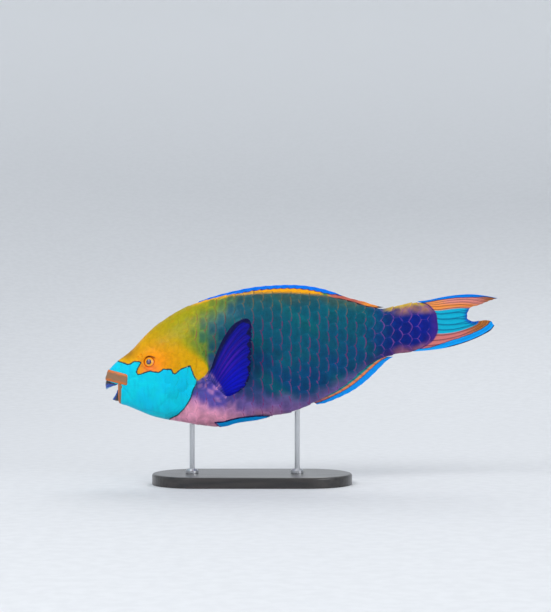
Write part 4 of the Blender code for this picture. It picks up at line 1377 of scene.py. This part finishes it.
def beak_finish():
    """Dense enamel: deep blue at the root, bright blue, then a pale cutting edge; the lower beak's dark root
    is painted shadow.
    """
    finish = Finish("blue_enamel", roughness=0.22, Coat_Weight=0.6, Coat_Roughness=0.1)
    spots = finish.noise(500, 3)
    base = finish.bands(
        finish.waved(finish.stored("to_edge", "Fac"), spots, 0.3), colour(3, 6, 26),
        (0.3, 0.7, colour(0, 70, 176)), (0.88, 0.99, colour(150, 200, 232)),
    )
    base = finish.stained(base, spots, 0.35, colour(10, 30, 80))
    return finish.done(base, finish.bump(spots, 0.0002), finish.scaled(spots, 0.2, 0.14))


BEAK_FINISH = beak_finish()
for beak_name, beak_place in (("beak_upper", upper_beak_place), ("beak_lower", lower_beak_place)):
    beak_mesh, beak_share = leaf(132, 22, beak_place)
    beak = new_piece(beak_name, beak_mesh, BEAK_FINISH, "blue_beak", beak_name, sharp=50)
    # The lower beak's power of 2.2 spreads the dark root colour over most of it: painted shadow on that
    # plate.
    store(beak, "to_edge", beak_share[:, 1] ** (1 if beak_name == "beak_upper" else 2.2))

# %% [markdown]
# ## Fins
# A fin is thin skin held out by bony rays. Each is a leaf of two faces on a surface with a place
# across the rays and a place along them. Both faces rise over the rays, which split towards the
# margin, and the skin between them is thinner, so the margin is notched. The finishes read how
# far each vertex is from a band's border, and how high the ray is there.

# %% Rays that split
SPLIT_START = 0.42
SPLIT_SPREAD = 0.2


def ray_height(across, along, rays, splits=True):
    """1 on a ray and 0 between rays."""
    pitch = across * (rays - 1)
    away = pitch - np.rint(pitch)
    if not splits:
        return hump(away / 0.13)
    open_1 = SPLIT_SPREAD * soft_step((along - SPLIT_START) / 0.5)
    open_2 = SPLIT_SPREAD * 0.5 * ramp(along, 0.68, 0.3)
    width = blend(0.13, 0.055, ramp(along, 0.3, 0.6))
    near = np.abs(np.abs(np.abs(away) - open_1) - open_2)
    return hump(near / width)


def surface_normal(surface, across, along):
    step = 0.004
    a0, a1 = np.clip(across - step, 0, 1), np.clip(across + step, 0, 1)
    b0, b1 = np.clip(along - step, 0, 1), np.clip(along + step, 0, 1)
    normal = np.cross(surface(a1, along) - surface(a0, along), surface(across, b1) - surface(across, b0))
    return unit(normal)


def fin_leaf(surface, columns, rows, rays, root_half, ridge, splits, folds):
    """A fin on surface(across, along), which gives points in millimetres."""

    def place(across, along, face):
        high = ray_height(across, along, rays, splits)
        skin = blend(root_half, 0.3, soft_step(along * 2.2))
        rim = np.minimum(1, (1 - along) * 14) ** 0.5
        half = skin * blend(0.35, 1, rim) + ridge * high * (1 - 0.55 * along) * blend(0.4, 1, rim)
        pleat = folds * np.cos(2 * math.pi * across * (rays - 1)) * along
        middle = surface(across, along)
        return middle + surface_normal(surface, across, along) * (face * half + pleat)[:, None]

    return leaf(columns, rows, place)


def make_fin(name, slot, finish, surface, paint, rays, side=1, splits=True, **form):
    """A fin, and on it what its finish reads: paint gives the tint, the margin's tint and the band."""
    bm, share = fin_leaf(surface, rays=rays, splits=splits, **form)
    if side == LEFT:
        bmesh.ops.scale(bm, vec=(1, -1, 1), verts=bm.verts)
        bmesh.ops.reverse_faces(bm, faces=bm.faces)
    piece = new_piece(name, bm, finish, slot, name, sharp=60)
    across, along, _ = share.T
    store(piece, "ray", ray_height(across, along, rays, splits))
    tint, margin, band = paint(surface(across, along), across, along)
    store(piece, "tint", tint)
    store(piece, "margin_tint", np.broadcast_to(margin, tint.shape))
    store(piece, "band", band)


def skin_notch(across, along, rays, depth, reach):
    """How far the skin between rays falls short of the margin."""
    return depth * np.abs(np.sin(math.pi * (across * (rays - 1)))) ** 1.5 * ramp(along, 1 - reach, reach)


def fin_finish(name, line_colour, ray_shade, ray_weight=0.5):
    """Thin wet skin: two fields of colour parted by a dark line, and rays of another shade."""
    finish = Finish(name, Specular_IOR_Level=0.1, **WET_SKIN)
    band = finish.waved(finish.stored("band", "Fac"), finish.noise(300, 2), 1.2)
    base = finish.stained(finish.stored("tint"), finish.stored("ray", "Fac"), ray_weight, ray_shade)
    base = finish.bands(band, base, (-0.3, 0.3, finish.stored("margin_tint")))
    line = finish.under(finish.math("ABSOLUTE", band), 0.15, 0.95)
    base = finish.mix(finish.times(line, 0.75), base, line_colour)
    streak = finish.noise(500, 3)
    base = finish.stained(base, streak, 0.22, colour(30, 30, 110))
    return finish.done(base, finish.bump(streak, 0.00025), finish.scaled(streak, 0.25, 0.28))


# %% The dorsal fin
dorsal_edge = smooth_line([
    (-78, 253.6), (-66, 258.4), (-52, 263), (-38, 266.9), (-24, 270.2), (-10, 273.2), (4, 275.5),
    (18, 277), (32, 277.9), (46, 278.5), (60, 278.4), (74, 277.4), (88, 275.3), (102, 272.1),
    (116, 267.6), (130, 262), (144, 258.1), (158, 254.6), (168, 251.2), (184, 247.2),
])
DORSAL_RAYS = 19
FIN_BLUE = colour(0, 122, 248)
FIN_NAVY = colour(8, 12, 70)
FIN_GOLD = colour(255, 176, 22)

def dorsal_surface(across, along):
    base_x = blend(-78, 172, across)
    lean = blend(4, 13, soft_step(across * 3))
    x = base_x + lean * along
    low = back(base_x) - 1.2
    top = np.maximum(dorsal_edge(base_x + lean), back(x) + 1.1)
    z = blend(low, top, along) - skin_notch(across, along, DORSAL_RAYS, 0.35, 0.3)
    return np.stack([x, np.zeros_like(x), z], axis=1)


def dorsal_paint(middle, across, along):
    x = middle[:, 0]
    height = dorsal_edge(x) - back(x)
    from_edge = (1 - along) * height
    # Painted shadow: dark where the folded rear of the fin lies low on the back, and over its last few
    # millimetres.
    fin_foot_shadow = soft_step((2.0 - height + from_edge) / 0.8) * ramp(x, 112, 12)
    tint = painted(
        FIN_GOLD,
        (colour(60, 140, 80), hump((x - 102) / 5)),
        (colour(204, 108, 92), ramp(x, 104, 8)),
        (colour(248, 150, 62), ramp(x, 146, 14)),
        # the painted shadow under the folded rear of the fin
        (colour(30, 10, 40), np.maximum(fin_foot_shadow, ramp(x, 173, 5))),
    )
    bumps = 0.9 * np.abs(np.sin(math.pi * across * (DORSAL_RAYS - 1) * 1.5))
    wide = blend(3.9, -1.4, ramp(x, 100, 34)) * blend(0.6, 1, ramp(x, -70, 60))
    return tint, FIN_BLUE, wide - from_edge + bumps


make_fin(
    "dorsal_fin", "orange_blue_fin", fin_finish("dorsal_skin", FIN_NAVY, colour(226, 150, 60), 0.2),
    dorsal_surface, dorsal_paint, DORSAL_RAYS, splits=False,
    columns=432, rows=14, root_half=1.5, ridge=0.35, folds=0.2,
)

# %% The anal fin
anal_edge = smooth_line([
    (88, 110.5), (102, 112.8), (116, 118.1), (130, 124.4), (144, 132.1), (158, 142.6), (168, 151.6),
    (179, 162.6), (190, 173.1), (198, 177.6),
])
ANAL_RAYS = 12


def anal_surface(across, along):
    base_x = blend(86, 184, across)
    lean = blend(5, 15, soft_step(across * 2))
    x = base_x + lean * along
    low = belly(base_x) + 1.2
    tip = np.minimum(anal_edge(base_x + lean), belly(x) - 0.9)
    z = blend(low, tip, along) + skin_notch(across, along, ANAL_RAYS, 0.5, 0.3)
    return np.stack([x, np.zeros_like(x), z], axis=1)


def anal_paint(middle, across, along):
    x = middle[:, 0]
    depth = np.maximum(belly(x) - anal_edge(x), 1)
    from_edge = (1 - along) * depth
    azure = np.minimum(9.8, depth * 0.52)
    orange = soft_step((azure + np.minimum(4.6, depth * 0.28) - from_edge) / 0.8)
    tint = painted(
        colour(20, 150, 150),
        (colour(250, 144, 88), orange),
        (colour(190, 96, 104), ramp(x, 112, -12) * 0.7),
        (colour(16, 12, 40), ramp(along, 0.16, -0.1) * ramp(x, 150, 20)),
    )
    return tint, colour(0, 148, 240), azure - from_edge


make_fin(
    "anal_fin", "bright_blue_fin", fin_finish("anal_skin", FIN_NAVY, colour(150, 150, 200)),
    anal_surface, anal_paint, ANAL_RAYS, columns=264, rows=22, root_half=1.6, ridge=0.5, folds=0.3,
)

# %% The tail fin
TAIL_UPPER = [
    (226, 256.9), (242, 258.6), (263, 262.5), (284, 265.1), (305, 265.8), (326, 263.4), (343.6, 259.8),
]
TAIL_LOWER = [
    (226, 185.2), (249, 187), (270, 190), (291, 195.4), (308, 201.5), (323, 208.4), (335, 216), (339, 221.4),
]
TAIL_END = [
    (343.6, 259.8), (332, 256), (318, 250.2), (305.5, 246), (301.6, 238), (301.6, 231.5), (307, 227.8),
    (318, 228), (329, 228.9), (336, 226.6), (339, 221.4),
]
TAIL_RAYS = 14


def from_point(path, start):
    return lambda t: path(t) + (start - path(0.0)) * (1 - np.asarray(t))[..., None]


def patch(root, tip, first, last):
    """A surface between four edge paths: root and tip run across it, first and last along it."""

    def at(r, s):
        r1, s1 = r[:, None], s[:, None]
        edges = (1 - s1) * root(r) + s1 * tip(r) + (1 - r1) * first(s) + r1 * last(s)
        corners = (1 - r1) * (1 - s1) * root(0.0) + r1 * (1 - s1) * root(1.0)
        return edges - corners - (1 - r1) * s1 * tip(0.0) - r1 * s1 * tip(1.0)

    return at


root_heights = smooth_line([(0, 255.2), (0.4, 243), (0.5, 235), (0.58, 227.5), (0.75, 210), (1, 185.2)])


def tail_root_path(r):
    z = root_heights(r)
    return np.stack([tail_root(z) - 1.5, z], axis=-1)


upper_path = from_point(smooth_path(TAIL_UPPER), tail_root_path(0.0))
lower_path = from_point(smooth_path(TAIL_LOWER), tail_root_path(1.0))
tail_flat = patch(tail_root_path, smooth_path(TAIL_END), upper_path, lower_path)


def tail_surface(across, along):
    x, z = tail_flat(across, along).T
    wave = 1.6 * np.sin(math.pi * across * 2) * along**2
    return np.stack([x - skin_notch(across, along, TAIL_RAYS, 0.7, 0.14), wave, z], axis=1)


def tail_paint(middle, across, along):
    x, z = middle[:, 0], middle[:, 2]
    to_upper, to_lower = line_distance(x, z, TAIL_UPPER), line_distance(x, z, TAIL_LOWER)
    is_lower = soft_step((across - 0.5) * 10)
    in_middle = soft_step((across - 0.405) / 0.02 + 0.5) * soft_step((0.75 - across) / 0.02 + 0.5)
    upper = painted(
        colour(250, 160, 92),
        (colour(234, 148, 138), ramp(x, 256, 24)),
        (colour(244, 150, 70), hump((across - 0.33) / 0.07)),
        (colour(176, 106, 52), ramp(x, 312, 24)),
    )
    lower = painted(colour(214, 120, 116), (colour(190, 116, 52), ramp(x, 290, 30)))
    cyan = painted(colour(0, 176, 208), (colour(0, 100, 200), ramp(along, 0.78, 0.2)))
    root = (colour(96, 52, 130), ramp(along, 0.05, -0.03))
    tint = painted(upper, (lower, is_lower), (cyan, in_middle), root)
    dark_line = np.where(across < 0.5, 0, ramp(to_lower, 1.5, -0.8) * ramp(x, 262, 20))
    margin = painted(colour(0, 132, 236), (colour(0, 158, 240), is_lower), (FIN_NAVY, dark_line))
    upper_band = blend(4.8, 0.6, ramp(x, 300, 38)) - to_upper
    lower_band = blend(3.2, 8.4, ramp(x, 240, 42)) - to_lower
    return tint, margin, np.where(across < 0.5, upper_band, lower_band)


make_fin(
    "tail_fin", "orange_blue_fin", fin_finish("tail_skin", FIN_NAVY, colour(96, 84, 140), 0.7),
    tail_surface, tail_paint, TAIL_RAYS, columns=312, rows=72, root_half=2.0, ridge=0.6, folds=0.5,
)

# %% The pectoral fins
PECTORAL_LEAD = [(-61.5, 147.5), (-56, 165), (-47.5, 189), (-36.5, 210), (-24, 225), (-13, 230.8)]
PECTORAL_END = [
    (-13, 230.8), (-7.5, 231.4), (-3.2, 228.5), (-1.1, 221), (-0.4, 208), (-0.6, 190), (-1.2, 172),
    (-2.4, 156), (-5.5, 143), (-11.5, 134.5), (-19, 128.5), (-27, 124.6),
]
PECTORAL_REAR = [(-36, 122.5), (-31.5, 122.8), (-27, 124.6)]
PECTORAL_ROOT_SEEN = [(-61.5, 147.5), (-52, 138.5), (-42.5, 129), (-36, 122.5)]
PECTORAL_SPREAD = math.radians(17)
PECTORAL_RAYS = 14
pectoral_flat = patch(*map(smooth_path, (PECTORAL_ROOT_SEEN, PECTORAL_END, PECTORAL_LEAD, PECTORAL_REAR)))


def pectoral_surface(across, along):
    flat, root = pectoral_flat(across, along), pectoral_flat(across, np.zeros_like(along))
    x, z = flat.T
    away = np.hypot(x - root[:, 0], z - root[:, 1])
    lift = 8 * (1 - np.exp(-away / 11)) - 1.5 + away * math.tan(PECTORAL_SPREAD)
    cup = 5 * np.sin(math.pi * across) * along
    y = flank(root[:, 0], root[:, 1]) + lift + cup
    pitch = across * (PECTORAL_RAYS - 1)
    fray = (0.5 + 0.5 * np.sin(pitch * 5.1)) * np.abs(np.sin(math.pi * pitch * 2)) ** 1.5
    inward = 3.4 * fray * ramp(along, 0.86, 0.14) * ramp(across, 0.1, 0.2)
    x, z = off_plane(x - inward * 0.8, z, y)
    y = np.maximum(y, flank(x, z) + blend(-1.5, 0.8, soft_step(away / 8)))
    return np.stack([x, y, z], axis=1)


def pectoral_paint(middle, across, along):
    streaks = np.sin(across * 60) * 0.5 + 0.5
    violet = hump((across - 0.3) / 0.18) * hump((along - 0.45) / 0.34) * streaks
    waves = cloud(middle[:, 0] * 1.6, middle[:, 2] * 1.6)
    flesh = painted(body_paint(middle), (colour(8, 40, 170), ramp(waves, 0.25, 0.3) * 0.6))
    tint = painted(
        colour(4, 14, 148),
        (colour(0, 10, 200), hump((across - 0.7) / 0.3) * hump((along - 0.5) / 0.45)),
        (colour(104, 28, 180), violet * 0.45),
        (flesh, soft_step((0.17 - along + 0.05 * waves) / 0.12)),
    )
    lead = 3.2 - across * 55 - 4 * ramp(along, 0.2, -0.15)
    trail = 1.2 + 4 * np.sin(across * 23) ** 2 - (1 - along) * 70
    return tint, FIN_NAVY, np.maximum(lead, trail)


PECTORAL_FINISH = fin_finish("pectoral_skin", colour(8, 10, 76), colour(60, 60, 160), 0.65)
for pectoral_name, pectoral_side in (("pectoral_fin_left", LEFT), ("pectoral_fin_right", RIGHT)):
    make_fin(
        pectoral_name, "deep_blue_fin", PECTORAL_FINISH, pectoral_surface, pectoral_paint, PECTORAL_RAYS,
        side=pectoral_side, columns=260, rows=80, root_half=3.4, ridge=0.5, folds=0.5,
    )

# %% The pelvic fins
PELVIC_RAYS = 6
PELVIC_EDGE = colour(10, 24, 84)


def pelvic_surface(across, along):
    x = blend(blend(-52, -45, across), blend(28, 10, across), along)
    y = blend(blend(17.5, 5, across), blend(13.5, 5.5, across**0.8), along)
    lift = 0.4 + blend(1.0, 1.6, across) * soft_step(along * 4)
    lift = lift + blend(3.6, 2.8, across) * ramp(along, 0.25, 0.75)
    x = x - skin_notch(across, along, PELVIC_RAYS, 3.5, 0.1)
    return np.stack([x, y, underside(x, y) - lift], axis=1)


def pelvic_paint(middle, across, along):
    tint = painted(colour(0, 176, 255), (colour(150, 80, 130), ramp(along, 0.06, -0.05)))
    return tint, PELVIC_EDGE, np.maximum(0.5 - across * 12, 0.6 - (1 - along) * 60)


PELVIC_FINISH = fin_finish("pelvic_skin", PELVIC_EDGE, colour(120, 160, 220), 0.35)
for pelvic_name, pelvic_side in (("pelvic_fin_left", LEFT), ("pelvic_fin_right", RIGHT)):
    make_fin(
        pelvic_name, "bright_blue_fin", PELVIC_FINISH, pelvic_surface, pelvic_paint, PELVIC_RAYS,
        side=pelvic_side, columns=80, rows=64, root_half=1.0, ridge=0.4, folds=0.25,
    )

# %% [markdown]
# ## The stand
# The base is a slab of dark stained wood under satin lacquer, and the rods are brushed steel.
# Their solids are right as they are, so they only get these finishes.

# %% Finish the base and the rods


def base_finish():
    finish = Finish("black_lacquer", roughness=0.3, Coat_Weight=0.4, Coat_Roughness=0.15)
    grain = finish.noise(26, 5, (0.6, 9, 9))
    pores = finish.noise(900, 2, (0.15, 1, 1))
    base = finish.bands(grain, colour(22, 20, 20), (0.3, 0.7, colour(44, 39, 37)))
    return finish.done(base, finish.bump(pores, 0.0001), finish.scaled(grain, 0.2, 0.22))


def rod_finish():
    finish = Finish("brushed_steel", roughness=0.28, Metallic=1.0)
    brushed = finish.noise(700, 3, (6, 6, 0.12))
    base = finish.mix(brushed, colour(168, 170, 174), colour(206, 208, 212))
    return finish.done(base, finish.bump(brushed, 0.00005), finish.scaled(brushed, 0.22, 0.2))


STAND_FINISHES = {"stand_base": base_finish()}
STAND_FINISHES["stand_rod_front"] = STAND_FINISHES["stand_rod_rear"] = rod_finish()
for node_name, stand_finish in STAND_FINISHES.items():
    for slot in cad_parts[node_name].material_slots:
        slot.material = stand_finish
print("stand finished:", ", ".join(STAND_FINISHES))
